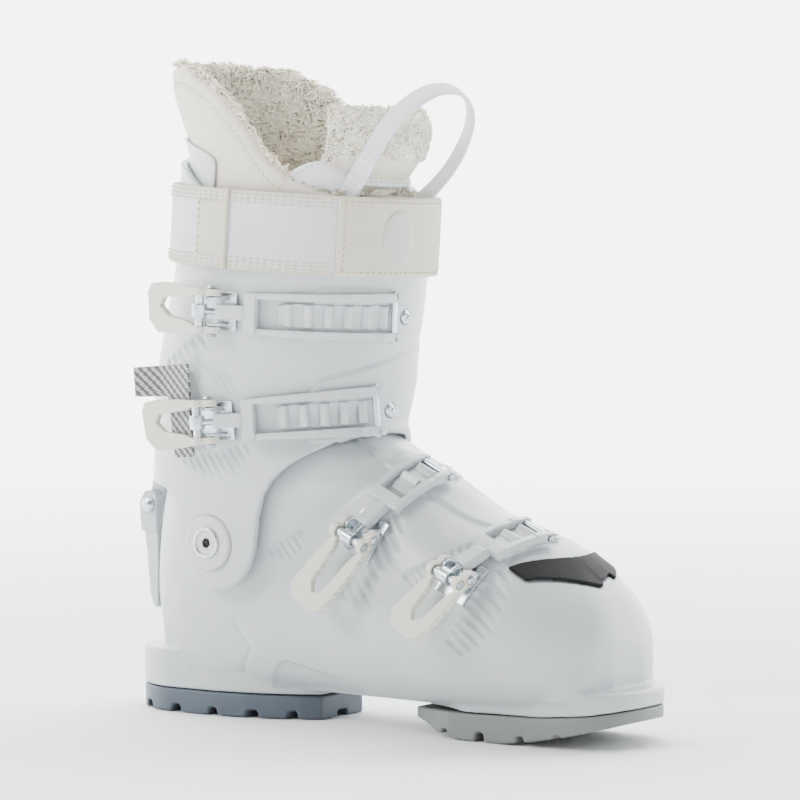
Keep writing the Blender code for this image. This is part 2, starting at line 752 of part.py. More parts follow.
# ------------------------------------------------------------------ strap
def strap_zone(name, slope_low, slope_high):
    side = [(-200, slope_low + 9), (100, slope_low - 11), (100, slope_high - 11),
            (-200, slope_high + 9)]
    return prism_y(name, side, -120, 120)


def ring_band(name, inner, outer, low, high):
    body = tube_solid(name, CUFF, 200, 270, 5, -outer)
    cut(body, tube_solid("inner", CUFF, 198, 272, 5, -inner))
    return keep(body, strap_zone("zone", low, high))


def power_strap():
    body = ring_band("power_strap", 0.5, 0.5 + STRAP_THICK, 216, 216 + STRAP_HEIGHT)
    return finish_part(body, "strap")


def strap_panel(name, angle0, angle1, low, high, thick):
    """Felt panel lying on the strap between two angles from the front."""
    body = ring_band(name, 0.5 + STRAP_THICK + GAP, 0.5 + STRAP_THICK + GAP + thick, low, high)
    rays = [(-56.0, 0.0)]
    for a in stations(angle0, angle1, 7):
        rays.append((-56.0 + 150 * math.cos(math.radians(a)), 150 * math.sin(math.radians(a))))
    return finish_part(keep(body, prism_z("sector", rays, 100, 300)), "felt")


# ------------------------------------------------------------------ buckles
HUB = 7.6                    # lever axis above the skin
CRANK = (-5.0, 3.4)          # barrel axis from the lever axis in the closed pose
STUB = 1.7
BARREL = 2.0


def pad(name, tree, band, s0, s1, half, top, steps, ends=0.0):
    """Plate whose underside follows the skin with a small gap."""
    rings = []
    for i in range(steps + 1):
        s = s0 + (s1 - s0) * i / steps
        w = half - (ends if i in (0, steps) else 0.0)
        under = [(x, skin(tree, band, s, x) + 0.95) for x in (-w, -w / 2, 0, w / 2, w)]
        rings.append([band.at(s, x, n) for x, n in under]
                     + [band.at(s, x, max(top, n + 0.8)) for x, n in under[::-2]])
    return loft(name, rings)


def buckle_base(n, tree, band):
    frame = band.frame(0.0, HUB)
    body = pad("base_%d" % n, tree, band, -11, 9, 9.2, 1.8, 4)
    for side in (-1, 1):
        w0, w1 = side * 5.4, side * 6.8
        ear = prism("ear", [(-3.6, -HUB + 1.0), (6.0, -HUB + 1.0), (3.2, 0.5), (2.2, 2.4),
                            (0, 3.2), (-2.2, 2.4), (-3.2, 0.5)], frame, w0, w1)
        stub = turned("stub", frame @ Vector((0, side * 6.5, 0)), frame.to_3x3() @
                      Vector((0, side, 0)), [(0, STUB), (4.3, STUB), (4.3, 2.9), (5.6, 2.0)], 12)
        join(body, ear, stub)
    return finish_part(body, "steel")


def buckle_lever(n, band, length, skew):
    frame = band.frame(0.0, HUB)
    name = "lever_%d" % n
    tip, half = -length, 12.0
    outline = [(3.0, 10.2), (-7, 10.4), (-16, 11.5), (tip + 9, half), (tip + 2, half - 1),
               (tip, half - 5), (tip + 1.5, -half + 6), (tip + 7, -half), (-16, -11.5),
               (-7, -10.4), (3.0, -10.2)]
    def lean(points):
        return [(s, w + skew * min(s + 9, 0)) for s, w in points]
    body = plate(name, lean(outline), frame, -1.6, 2.0)
    window = [(8, 7.3), (-9, 7.3), (-13, 6.0), (tip + 10, 5.0), (tip + 8, 1.0),
              (tip + 13, -3.4), (-13, -5.6), (-9, -7.3), (8, -7.3)]
    cut(body, plate("window", lean(window), frame, -6, 6))
    for side in (-1, 1):
        start = frame @ Vector((0, side * 7.15, 0))
        join(body, rod("hub", start, frame @ Vector((0, side * 10.45, 0)), 3.9))
        boss = frame @ Vector((CRANK[0], side * 7.2, CRANK[1]))
        join(body, rod("boss", boss, frame @ Vector((CRANK[0], side * 10.5, CRANK[1])), 3.5))
    cut(body, rod("bore", frame @ Vector((0, -20, 0)), frame @ Vector((0, 20, 0)), STUB + 0.3))
    cut(body, rod("bore", frame @ Vector((CRANK[0], -20, CRANK[1])),
                  frame @ Vector((CRANK[0], 20, CRANK[1])), BARREL + 0.3))
    return finish_part(body, "cream")


def crank_frame(band, reach):
    """Frame on the barrel axis whose s axis points at the bale's near end."""
    origin = band.frame(0.0, HUB) @ Vector((CRANK[0], 0, CRANK[1]))
    target = band.at(reach, 0, 4.2)
    along = (target - origin).normalized()
    normal = along.cross(band.w).normalized()
    if normal.dot(band.place(0)[2]) < 0:
        normal = -normal
    mat = Matrix.Identity(4)
    for row in range(3):
        mat[row][0], mat[row][1], mat[row][2] = along[row], band.w[row], normal[row]
        mat[row][3] = origin[row]
    return mat


def buckle_barrel(n, frame):
    return finish_part(rod("barrel_%d" % n, frame @ Vector((0, -10.7, 0)),
                           frame @ Vector((0, 10.7, 0)), BARREL), "steel")


def buckle_rod(n, frame, length):
    """Eye round the barrel with a threaded shank."""
    body = rod("rod_%d" % n, frame @ Vector((0, -3.2, 0)), frame @ Vector((0, 3.2, 0)), 3.6, 16)
    join(body, rod("shank", frame @ Vector((2.5, 0, 0)), frame @ Vector((length, 0, 0)), 1.6, 12))
    cut(body, rod("bore", frame @ Vector((0, -10, 0)), frame @ Vector((0, 10, 0)), BARREL + 0.3))
    return finish_part(body, "steel")


def pin_height(tree, band, end, wide):
    """Height of the hook pin: clear of the skin at both of its ends."""
    ends = [skin(tree, band, end, w) for w in (-wide - 0.9, -6, 0, 6, wide + 0.9)]
    return max(3.9, max(ends) + 2.6)


def rail(name, tree, band, s0, s1, side, wide, steps=8):
    """Side bar of the frame, lifted where the skin swells."""
    rings = []
    for i in range(steps + 1):
        f = i / steps
        s = s0 + (s1 - s0) * f
        inner, outer = side * 6.9, side * (9.6 + (wide - 9.6) * f)
        low = max(1.6, skin(tree, band, s, inner) + 1.1, skin(tree, band, s, outer) + 1.1)
        rings.append([band.at(s, inner, low), band.at(s, outer, low),
                      band.at(s, outer, low + 3.8), band.at(s, inner, low + 3.8)])
    return loft(name, rings)


def buckle_bale(n, tree, band, frame, start, end, shank, wide):
    """Frame round the rack: socket for the rod, two rails and a nose for the hook pin."""
    low = 1.6
    height = pin_height(tree, band, end, wide)
    body = rail("bale_%d" % n, tree, band, start + 9, end - 6, 1, wide)
    join(body, rail("rail", tree, band, start + 9, end - 6, -1, wide))
    join(body, band.bar("bridge", start + 6.5, start + 12, -9.5, 9.5, low + 0.2, 6.4, 2))
    join(body, prism("socket", [(start, -2.8), (start + 14, -2.8), (start + 15.5, 0.5),
                                (start + 13, 2.8), (start, 2.8)], frame, -3.4, 3.4))
    for side in (-1, 1):
        w0, w1 = sorted((side * 7.0, side * wide))
        join(body, band.bar("ear", end - 7.5, end + 3.6, w0, w1, height - 2.3, height + 2.1, 3))
    cut(body, rod("bore", frame @ Vector((-5, 0, 0)), frame @ Vector((shank + 4.6, 0, 0)),
                  1.95, 16))
    pin = band.frame(end, height)
    cut(body, rod("eye", pin @ Vector((0, -20, 0)), pin @ Vector((0, 20, 0)), 1.85, 12))
    return finish_part(body, "frame")


def buckle_hook(n, tree, band, end, wide):
    """Steel cross pin that catches behind a tooth."""
    pin = band.frame(end, pin_height(tree, band, end, wide))
    return finish_part(turned("hook_%d" % n, pin @ Vector((0, -wide - 0.9, 0)),
                              pin.to_3x3() @ Vector((0, 1, 0)),
                              [(0, 1.2), (0.5, 1.5), (2 * wide + 1.3, 1.5),
                               (2 * wide + 1.8, 1.2)], 10), "steel")


def skin(tree, band, s, w):
    """Distance of the body's skin from the path, measured along the local normal."""
    point, _, normal = band.place(s)
    start = point + band.w * w + normal * 30
    hit = tree.ray_cast(start, -normal)[0]
    return 30 - (start - hit).length if hit else 0.0


def buckle_ladder(n, tree, band, start, hook, stop, pitch=9.0):
    """Toothed rack that follows the skin; the hook pin rests behind one tooth."""
    body = pad("ladder_%d" % n, tree, band, start, stop, 5.6, 1.9, 9, 1.2)
    tooth = hook - 2.6
    while tooth - 4.6 > start + 1:
        frame = band.frame(tooth)
        swell = max(skin(tree, band, tooth - 2.5, w) for w in (-5.2, 0, 5.2))
        lift = max(0.0, swell - 0.5)
        base = max(1.4, swell + 1.3)
        profile = [(0, base), (-1.6, 4.4 + lift), (-3.0, 4.8 + lift), (-5.0, 2.8 + lift),
                   (-5.4, base)]
        join(body, prism("tooth", profile, frame, -5.2, 5.2))
        tooth -= pitch
    place = band.frame(stop - 7.0)
    cut(body, rod("seat", place @ Vector((0, 0, 1.0)), place @ Vector((0, 0, 8)), 4.0, 14))
    cut(body, rod("bore", place @ Vector((0, 0, -6)), place @ Vector((0, 0, 8)), 1.7, 10))
    return finish_part(body, "frame")


def buckle_screw(n, band, stop):
    """Cross-head screw whose shank goes into the body behind the rack."""
    place = band.frame(stop - 7.0)
    body = turned("screw_%d" % n, place @ Vector((0, 0, -1.6)), place.to_3x3() @ Vector((0, 0, 1)),
                  [(0, 1.2), (2.9, 1.2), (2.9, 3.6), (4.0, 3.4), (4.8, 1.8)], 14)
    for a in (0, 1):
        outline = [(-2.0, -0.45), (2.0, -0.45), (2.0, 0.45), (-2.0, 0.45)]
        if a:
            outline = [(y, x) for x, y in outline]
        cut(body, plate("slot", outline, place @ Matrix.Rotation(0.4, 4, "Z"), 2.2, 6))
    return finish_part(body, "steel")


def buckle(n, tree, spec):
    """All eight pieces of one buckle; returns what the record needs."""
    band = Band(tree, spec["centre"], spec["across"], spec["zero"], ARC)
    start, shank = spec["rod"]
    frame = crank_frame(band, start + 8.0)
    buckle_base(n, tree, band)
    buckle_lever(n, band, spec["lever"], spec["skew"])
    buckle_barrel(n, frame)
    buckle_rod(n, frame, shank)
    buckle_bale(n, tree, band, frame, start, spec["hook"], shank, spec["wide"])
    buckle_hook(n, tree, band, spec["hook"], spec["wide"])
    buckle_ladder(n, tree, band, spec["rack"], spec["hook"], spec["stop"])
    buckle_screw(n, band, spec["stop"])
    return {"hub": band.frame(0, HUB), "crank": frame, "band": band}


def screw_bore(band, stop):
    place = band.frame(stop - 7.0)
    return rod("bore", place @ Vector((0, 0, -9)), place @ Vector((0, 0, 3)), 1.55, 10)


def entry_lever(band):
    """Patterned flat lever that sits under the second buckle, tab bent outwards behind."""
    frame = band.frame(0.0, HUB)
    blade = [(-12.5, -2.2), (-28, -2.2), (-34, 0.8), (-39.5, 4.0), (-40.3, 2.6), (-35, -1.2),
             (-29, -4.0), (-12.5, -4.0)]
    body = prism("entry_lever", blade, frame, -16, 28)
    cut(body, plate("trim", [(-60, -20), (-23, -20), (-25, 13.2), (-60, 15)], frame, -20, 20))
    return finish_part(body, "print")


ARC = [a for a in range(-60, 141, 4)]
SPECS = {
    1: dict(centre=(-60, 0, 195), across=(0.05, 0, 1), zero=(0, -1, 0), lever=38, skew=0.0,
            rod=(8.5, 14), rack=30, hook=85, stop=103, wide=11.6),
    2: dict(centre=(-63, 0, 143), across=(-0.08, 0, 1), zero=(0, -1, 0), lever=38, skew=0.0,
            rod=(8.5, 14), rack=30, hook=75, stop=95, wide=11.6),
    3: dict(centre=(13.5, 0, 86), across=(0.91, -0.11, -0.40), zero=(-2.5, -52, 8.5), lever=44,
            skew=0.2, rod=(8.5, 13), rack=24, hook=46, stop=62, wide=10.6),
    4: dict(centre=(74.9, 0, 66), across=(0.92, -0.21, -0.33), zero=(-7.9, -52, 11), lever=38,
            skew=0.15, rod=(8.5, 13), rack=23, hook=44, stop=58, wide=10.6),
}
FORM = {}
BUCKLES = {}


# ------------------------------------------------------------------ assembly
def clear_scene():
    for obj in list(bpy.data.objects):
        bpy.data.objects.remove(obj)


def bore(name, *tools):
    look = bpy.data.objects[name].data.materials[0]
    cut(bpy.data.objects[name], *tools)
    bpy.data.objects[name].data.materials.clear()
    bpy.data.objects[name].data.materials.append(look)


def to_metres():
    """Tidy names and scale the meshes from millimetres to metres."""
    shift = Matrix.Translation(Vector(CENTRE_SHIFT))
    for obj in bpy.data.objects:
        obj.data.transform(Matrix.Scale(0.001, 4) @ shift)
        obj.data.name = obj.name
        outward(obj)


def build():
    clear_scene()
    form = outer_shell("form")
    FORM["tree"] = tree_of(form)
    bpy.data.objects.remove(form)
    form = cuff_solid("form", 0.0)
    cuff_tree = tree_of(form)
    bpy.data.objects.remove(form)
    lower_shell()
    cuff()
    toe_seal()
    heel_sole()
    toe_sole()
    sole_screw("heel_screw", -96, 4.2)
    sole_screw("toe_screw", 88, 4.6)
    bootboard()
    footbed()
    liner_pieces()
    liner_shaft()
    liner_tongue()
    pull_loop()
    power_strap()
    strap_panel("strap_patch", -40, 24, 215, 216.5 + STRAP_HEIGHT, 1.4)
    strap_panel("strap_keeper", -110, -93, 215, 216.5 + STRAP_HEIGHT, 1.4)
    ankle_rivet("pivot_lateral", -1)
    ankle_rivet("pivot_medial", 1)
    rear_strut()
    strut_pin()
    for n in (1, 2, 3, 4):
        tree = cuff_tree if n < 3 else FORM["tree"]
        BUCKLES[n] = buckle(n, tree, SPECS[n])
        bore("cuff" if n < 3 else "lower_shell",
             screw_bore(BUCKLES[n]["band"], SPECS[n]["stop"]))
    entry_lever(BUCKLES[2]["band"])
    to_metres()


build()
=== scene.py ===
"""Looks of the alpine ski boot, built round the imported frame.

All modelling is in millimetres in the boot's own axes (toe +X, outer side -Y, up +Z)
and written in metres; SHIFT is the frame's origin offset."""
import json
import math
import random

import bmesh
import bpy
from mathutils import Matrix, Vector
from mathutils.bvhtree import BVHTree

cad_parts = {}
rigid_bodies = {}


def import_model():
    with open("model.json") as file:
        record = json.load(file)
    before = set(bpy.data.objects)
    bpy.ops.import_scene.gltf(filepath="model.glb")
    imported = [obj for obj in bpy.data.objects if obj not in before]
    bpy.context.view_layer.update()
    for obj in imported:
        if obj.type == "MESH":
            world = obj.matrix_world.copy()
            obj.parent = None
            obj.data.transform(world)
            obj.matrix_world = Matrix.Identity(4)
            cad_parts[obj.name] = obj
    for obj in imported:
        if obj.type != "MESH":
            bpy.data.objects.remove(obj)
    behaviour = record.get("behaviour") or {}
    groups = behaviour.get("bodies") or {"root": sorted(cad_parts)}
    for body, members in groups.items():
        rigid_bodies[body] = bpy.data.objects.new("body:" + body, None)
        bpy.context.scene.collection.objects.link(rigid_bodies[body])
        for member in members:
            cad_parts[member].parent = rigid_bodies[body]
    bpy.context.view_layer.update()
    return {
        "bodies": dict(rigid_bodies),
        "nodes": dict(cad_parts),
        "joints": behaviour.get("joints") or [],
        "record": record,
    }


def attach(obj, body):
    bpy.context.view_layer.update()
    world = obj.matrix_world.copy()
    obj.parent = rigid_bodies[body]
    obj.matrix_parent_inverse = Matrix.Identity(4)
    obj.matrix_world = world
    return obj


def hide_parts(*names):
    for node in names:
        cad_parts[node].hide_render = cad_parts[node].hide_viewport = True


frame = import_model()
SHIFT = Vector((3.2, 5.97, 0.0))

# ------------------------------------------------------------------ driving dimensions
HEEL_BACK = -143.0
TOE_TIP = 140.5
LUG_RADIUS = 35.0
HEEL_LUG_TOP = 30.0
TOE_LUG_TOP = 25.5
SHELL_WALL = 3.6
CUFF_WALL = 3.5
GAP = 0.4
PIVOT = (-73.4, 84.7)
FLOOR = 20.0
COLLAR_WALL = 8.5
STRAP_THICK = 3.0
STRAP_HEIGHT = 36.0
RING = 144
FOOT = [
    (-118, 13.0, 96, 45, 30, 30), (-100, 13.0, 108, 45, 36, 36),
    (-60, 13.0, 120, 45, 40, 39), (-20, 13.0, 127, 45, 42.5, 41),
    (5, 13.0, 129, 46, 45, 43), (22, 13.0, 122.5, 46, 47.5, 45),
    (36, 13.0, 113.5, 46, 49, 47), (53, 13.0, 103, 46, 50.5, 49),
    (70, 13.0, 97.5, 46, 51, 50), (85, 13.5, 92, 45, 50, 50),
    (100, 14.0, 84, 44, 46.5, 47), (112, 14.5, 75.5, 42, 40.5, 41.5),
    (120, 15.5, 68, 41, 34, 35), (126, 16.5, 58.5, 40, 25, 26),
    (129, 18.5, 49, 38, 13, 14),
]
SHAFT = [
    (13, -126, -35, 30), (30, -131, -22, 33.5), (45, -134.5, -10, 36.5),
    (62, -135, 0, 40), (85, -132.3, 6, 43.5), (105, -128.8, 14, 44.2),
    (115, -124.0, 19, 43.4), (122, -119.0, 15, 41.8), (127, -115, 9, 40.2),
    (131, -112, 1.5, 38.8), (136, -109, -10, 37), (141, -107, -17, 35.5),
    (147, -105, -23, 34.5), (153, -103, -29, 33.5),
]
CUFF = [
    (56, -136, 8, 48.6), (70, -136, 10, 49.4), (85, -136, 12, 50.2), (110, -134.5, 14, 52),
    (125, -132.5, 6, 53.5), (133, -131.5, -2, 54.3), (140, -130.5, -5, 55),
    (150, -129.5, -3, 55.8), (161, -128.3, -0.8, 56.3), (181, -124.5, 1, 56.5),
    (201, -119.5, 4, 56.3), (215, -116.3, 6.5, 56), (249, -114, 8.7, 55.5),
    (272, -113, 9, 55),
]
COLLAR = [
    (84, -126, -16, 38.0), (105, -120, -17, 35.8), (115, -113.5, -18, 34.4),
    (124, -108, -21, 33.6), (135, -110.5, -26, 33.6), (150, -121, -29, 35),
    (170, -121.5, -16, 45),
    (190, -117.6, -5.5, 51.2), (215, -111.8, 2.0, 51), (249, -109.6, 4.0, 50.6),
    (268, -109.0, 4.0, 50), (285, -116, 3, 49.5), (300, -121.5, -2, 49.5),
    (318, -121.5, -8, 48.5),
]
PIN = (-141.0, 97.0)         # rear strut pin, x and z
HUB = 7.6                    # lever axis above the skin
CRANK = (-5.0, 3.4)          # barrel axis from the lever axis in the closed pose
STUB = 1.7
BARREL = 2.0
ARC = [a for a in range(-60, 141, 4)]
SPECS = {
    1: dict(centre=(-60, 0, 195), across=(0.05, 0, 1), zero=(0, -1, 0), lever=38, skew=0.0,
            rod=(8.5, 14), rack=30, hook=85, stop=103, wide=11.6),
    2: dict(centre=(-63, 0, 143), across=(-0.08, 0, 1), zero=(0, -1, 0), lever=38, skew=0.0,
            rod=(8.5, 14), rack=30, hook=75, stop=95, wide=11.6),
    3: dict(centre=(13.5, 0, 86), across=(0.91, -0.11, -0.40), zero=(-2.5, -52, 8.5), lever=44,
            skew=0.2, rod=(8.5, 13), rack=24, hook=46, stop=62, wide=10.6),
    4: dict(centre=(74.9, 0, 66), across=(0.92, -0.21, -0.33), zero=(-7.9, -52, 11), lever=38,
            skew=0.15, rod=(8.5, 13), rack=23, hook=44, stop=58, wide=10.6),
}
FORM = {}
BUCKLES = {}
DETAIL = {"ring": 28, "dense": False}


# ------------------------------------------------------------------ materials
class Look:
    """A node material with short helpers for building its graph."""

    def __init__(self, name, rough=0.4, metal=0.0, **sockets):
        self.mat = bpy.data.materials.new(name)
        self.mat.use_nodes = True
        self.tree = self.mat.node_tree
        self.bsdf = self.tree.nodes["Principled BSDF"]
        self.bsdf.inputs["Roughness"].default_value = rough
        self.bsdf.inputs["Metallic"].default_value = metal
        for key, value in sockets.items():
            self.bsdf.inputs[key.replace("_", " ")].default_value = value
        self.heights = []

    def node(self, kind, **props):
        n = self.tree.nodes.new("ShaderNode" + kind)
        for key, value in props.items():
            setattr(n, key, value)
        return n

    def link(self, a, b):
        self.tree.links.new(a, b)

    def place(self, grain=False, scale=(1, 1, 1), turn=(0, 0, 0)):
        """Texture place: the piece's own axes, or its 'grain' attribute in millimetres."""
        if grain:
            source = self.node("Attribute", attribute_name="grain").outputs["Vector"]
        else:
            source = self.node("TexCoord").outputs["Object"]
        mapping = self.node("Mapping")
        mapping.inputs["Scale"].default_value = scale
        mapping.inputs["Rotation"].default_value = turn
        self.link(source, mapping.inputs["Vector"])
        return mapping.outputs["Vector"]

    def noise(self, where, scale, detail=3.0, rough=0.55):
        n = self.node("TexNoise")
        self.link(where, n.inputs["Vector"])
        n.inputs["Scale"].default_value = scale
        n.inputs["Detail"].default_value = detail
        n.inputs["Roughness"].default_value = rough
        return n.outputs["Fac"]

    def wave(self, where, scale, direction="X", distort=0.0, profile="SIN"):
        n = self.node("TexWave", bands_direction=direction, wave_profile=profile)
        self.link(where, n.inputs["Vector"])
        n.inputs["Scale"].default_value = scale
        n.inputs["Distortion"].default_value = distort
        n.inputs["Detail"].default_value = 0.0
        return n.outputs["Fac"]

    def cells(self, where, scale, feature="F1"):
        n = self.node("TexVoronoi", feature=feature)
        self.link(where, n.inputs["Vector"])
        n.inputs["Scale"].default_value = scale
        return n.outputs["Distance"]

    def span(self, value, low, high, to_low=0.0, to_high=1.0):
        n = self.node("MapRange")
        self.link(value, n.inputs["Value"])
        for key, v in (("From Min", low), ("From Max", high), ("To Min", to_low),
                       ("To Max", to_high)):
            n.inputs[key].default_value = v
        return n.outputs["Result"]

    def math(self, op, a, b):
        n = self.node("Math", operation=op)
        for socket, value in zip(n.inputs, (a, b)):
            if isinstance(value, (int, float)):
                socket.default_value = value
            else:
                self.link(value, socket)
        return n.outputs[0]

    def mix(self, factor, a, b):
        n = self.node("Mix", data_type="RGBA")
        self.link(factor, n.inputs["Factor"])
        for socket, value in ((n.inputs[6], a), (n.inputs[7], b)):
            if isinstance(value, tuple):
                socket.default_value = (*value, 1.0)
            else:
                self.link(value, socket)
        return n.outputs[2]

    def edge(self, low, high):
        """Share of painted highlight on the surface: 1 on sharp outer edges."""
        g = self.node("NewGeometry")
        return self.span(g.outputs["Pointiness"], low, high)

    # Share of painted shade on the surface: 1 in hollows and creases.
    def hollow(self, low, high):
        g = self.node("NewGeometry")
        return self.span(g.outputs["Pointiness"], high, low)

    def colour(self, socket):
        self.link(socket, self.bsdf.inputs["Base Color"])

    def rough(self, socket):
        self.link(socket, self.bsdf.inputs["Roughness"])

    def bump(self, height, strength, distance):
        self.heights.append((height, strength, distance))

    def done(self):
        normal = None
        for height, strength, distance in self.heights:
            n = self.node("Bump")
            n.inputs["Strength"].default_value = strength
            n.inputs["Distance"].default_value = distance
            self.link(height, n.inputs["Height"])
            if normal:
                self.link(normal, n.inputs["Normal"])
            normal = n.outputs["Normal"]
        if normal:
            self.link(normal, self.bsdf.inputs["Normal"])
        return self.mat


def tint(colour, share):
    return tuple(min(c * share, 1.0) for c in colour)


def plastic(name, colour, rough=0.34, grit=0.05, cool=(0.98, 0.995, 1.0)):
    look = Look(name, rough, Coat_Weight=0.12, Coat_Roughness=0.25, Subsurface_Weight=0.08,
                Subsurface_Scale=0.004)
    where = look.place()
    cloud = look.span(look.noise(where, 26, 3), 0.3, 0.7)
    shade = look.mix(cloud, colour, tuple(c * k for c, k in zip(tint(colour, 0.965), cool)))
    # painted shade: darker in hollows and creases
    shade = look.mix(look.hollow(0.47, 0.40), shade, tint(colour, 0.80))
    # painted highlight: lighter on sharp outer edges
    shade = look.mix(look.edge(0.54, 0.63), shade, tint(colour, 1.06))
    look.colour(shade)
    look.rough(look.span(look.noise(where, 120, 4), 0.3, 0.7, rough - 0.06, rough + 0.08))
    look.bump(look.noise(where, 1400, 2), grit, 0.0004)
    return look.done()


def lever_plastic(name, colour):
    """Cream plastic with a fine raised grid and faint knurled rows; shade between the grid lines and
    highlights on its edges are painted into the colour.
    """
    look = Look(name, 0.5, Subsurface_Weight=0.05, Subsurface_Scale=0.003)
    local = look.place(grain=True)
    rows = look.wave(local, 0.36, "X")
    diagonal = look.wave(look.place(grain=True, turn=(0, 0, math.radians(62))), 0.21, "X")
    fine = look.wave(local, 0.62, "Y")
    grid = look.math("MAXIMUM", look.math("MULTIPLY", rows, fine), look.math("POWER", diagonal, 6))
    speck = look.noise(look.place(), 700, 3)
    # painted shade between the raised grid lines, faint painted highlight on them
    shade = look.mix(look.span(grid, 0.2, 0.95), tint(colour, 0.76), tint(colour, 1.06))
    shade = look.mix(look.span(speck, 0.35, 0.7, 0.0, 0.35), shade, tint(colour, 0.86))
    # painted highlight: lighter on sharp outer edges
    shade = look.mix(look.edge(0.55, 0.66), shade, tint(colour, 1.10))
    look.colour(shade)
    look.bump(grid, 0.35, 0.0004)
    look.bump(speck, 0.2, 0.0002)
    return look.done()


def steel(name, colour=(0.60, 0.65, 0.69), rough=0.26):
    look = Look(name, rough, 1.0)
    where = look.place(scale=(1, 1, 9))
    streak = look.noise(where, 260, 5, 0.65)
    stain = look.noise(look.place(), 60, 3)
    shade = look.mix(look.span(stain, 0.35, 0.7), colour, tint(colour, 0.72))
    shade = look.mix(look.span(streak, 0.4, 0.8, 0.0, 0.5), shade, tint(colour, 1.2))
    # painted highlight: lighter on sharp outer edges
    look.colour(look.mix(look.edge(0.55, 0.7), shade, (0.86, 0.88, 0.9)))
    look.rough(look.span(streak, 0.3, 0.8, rough - 0.05, rough + 0.16))
    look.bump(streak, 0.12, 0.0002)
    return look.done()


def rubber(name, colour, rough=0.55, grain_size=900, clear=0.0):
    look = Look(name, rough, Subsurface_Weight=clear, Subsurface_Scale=0.006,
                Specular_IOR_Level=0.25)
    where = look.place()
    dust = look.noise(where, 45, 5, 0.6)
    shade = look.mix(look.span(dust, 0.35, 0.75), colour, tint(colour, 1.22))
    # painted highlight: lighter on sharp outer edges
    shade = look.mix(look.edge(0.53, 0.64), shade, tint(colour, 1.45))
    # painted shade: darker in hollows and creases
    shade = look.mix(look.hollow(0.46, 0.38), shade, tint(colour, 0.66))
    look.colour(shade)
    look.rough(look.span(dust, 0.3, 0.8, rough - 0.08, rough + 0.12))
    look.bump(look.noise(where, grain_size, 3), 0.25, 0.0003)
    return look.done()


def webbing(name, colour):
    """Tightly woven mesh tape: crossing threads with small open pores."""
    look = Look(name, 0.75, Sheen_Weight=0.25, Sheen_Roughness=0.5)
    warp = look.wave(look.place(grain=True), 0.34, "X", 0.4)
    weft = look.wave(look.place(grain=True), 0.30, "Y", 0.4)
    weave = look.math("MULTIPLY", warp, weft)
    both = look.math("ADD", look.math("MULTIPLY", warp, 0.5), look.math("MULTIPLY", weft, 0.5))
    shade = look.mix(look.span(weave, 0.0, 0.5), tint(colour, 0.74), tint(colour, 1.04))
    shade = look.mix(look.span(look.noise(look.place(), 80, 4), 0.3, 0.75), shade,
                     tint(colour, 0.94))
    look.colour(shade)
    look.bump(both, 0.5, 0.0003)
    look.bump(look.noise(look.place(), 2500, 2), 0.3, 0.0002)
    return look.done()


def cloth(name, colour, fibre=1600, strength=0.5, sheen=0.3, mottling=0.10):
    """Brushed felt or knit: short fibres, mottled colour and a little sheen."""
    look = Look(name, 0.9, Sheen_Weight=sheen, Sheen_Roughness=0.45)
    where = look.place()
    fuzz = look.noise(where, fibre, 4, 0.7)
    fleck = look.cells(where, fibre * 0.7)
    patchy = look.noise(where, 55, 4)
    shade = look.mix(look.span(patchy, 0.3, 0.7), colour, tint(colour, 1.0 - mottling))
    shade = look.mix(look.span(fuzz, 0.35, 0.75, 0.0, 0.55), shade, tint(colour, 1.12))
    shade = look.mix(look.span(fleck, 0.0, 0.25, 0.35, 0.0), shade, tint(colour, 0.78))
    look.colour(shade)
    look.bump(fuzz, strength, 0.0006)
    look.bump(look.noise(where, 140, 3), 0.3, 0.0012)
    return look.done()


def satin_tape(name, colour):
    look = Look(name, 0.5, Sheen_Weight=0.5, Sheen_Roughness=0.35)
    ribs = look.wave(look.place(grain=True, turn=(0, 0, math.radians(32))), 0.8, "X", 0.3)
    edge = look.wave(look.place(grain=True), 0.42, "X")
    shade = look.mix(ribs, tint(colour, 0.88), colour)
    look.colour(look.mix(look.span(edge, 0.0, 1.0, 0.0, 0.25), shade, tint(colour, 1.05)))
    look.bump(ribs, 0.5, 0.0003)
    return look.done()


def thread(name, colour):
    look = Look(name, 0.7, Sheen_Weight=0.2)
    twist = look.noise(look.place(), 2600, 3)
    look.colour(look.mix(look.span(twist, 0.35, 0.7), tint(colour, 0.82), tint(colour, 1.08)))
    look.bump(twist, 0.5, 0.0003)
    return look.done()


def wool(name, colour):
    look = Look(name, 0.85, Sheen_Weight=0.35, Sheen_Roughness=0.4, Subsurface_Weight=0.15,
                Subsurface_Scale=0.003)
    where = look.place()
    lock = look.noise(where, 95, 3)
    shade = look.mix(look.span(lock, 0.32, 0.68), tint(colour, 0.90), tint(colour, 1.06))
    shade = look.mix(look.span(look.noise(where, 900, 2), 0.4, 0.7, 0.0, 0.4), shade,
                     (0.97, 0.93, 0.82))
    look.colour(shade)
    look.bump(look.noise(where, 420, 4), 0.4, 0.001)
    return look.done()


def printed(name, pale, dark):
    """Pale plastic with a generic print of crossing bars and diamonds."""
    look = Look(name, 0.42, Coat_Weight=0.1)
    one = look.wave(look.place(grain=True, turn=(0, 0, math.radians(38))), 0.115, "X")
    two = look.wave(look.place(grain=True, turn=(0, 0, math.radians(-38))), 0.115, "X")
    bars = look.math("MAXIMUM", look.span(one, 0.62, 0.66), look.span(two, 0.62, 0.66))
    inner = look.math("MINIMUM", look.span(one, 0.30, 0.34), look.span(two, 0.34, 0.30))
    ink = look.math("ABSOLUTE", look.math("SUBTRACT", bars, inner), 0.0)
    worn = look.noise(look.place(), 500, 4)
    ink = look.math("MULTIPLY", ink, look.span(worn, 0.2, 0.45, 0.75, 1.0))
    look.colour(look.mix(ink, pale, dark))
    look.bump(ink, 0.15, 0.0001)
    return look.done()


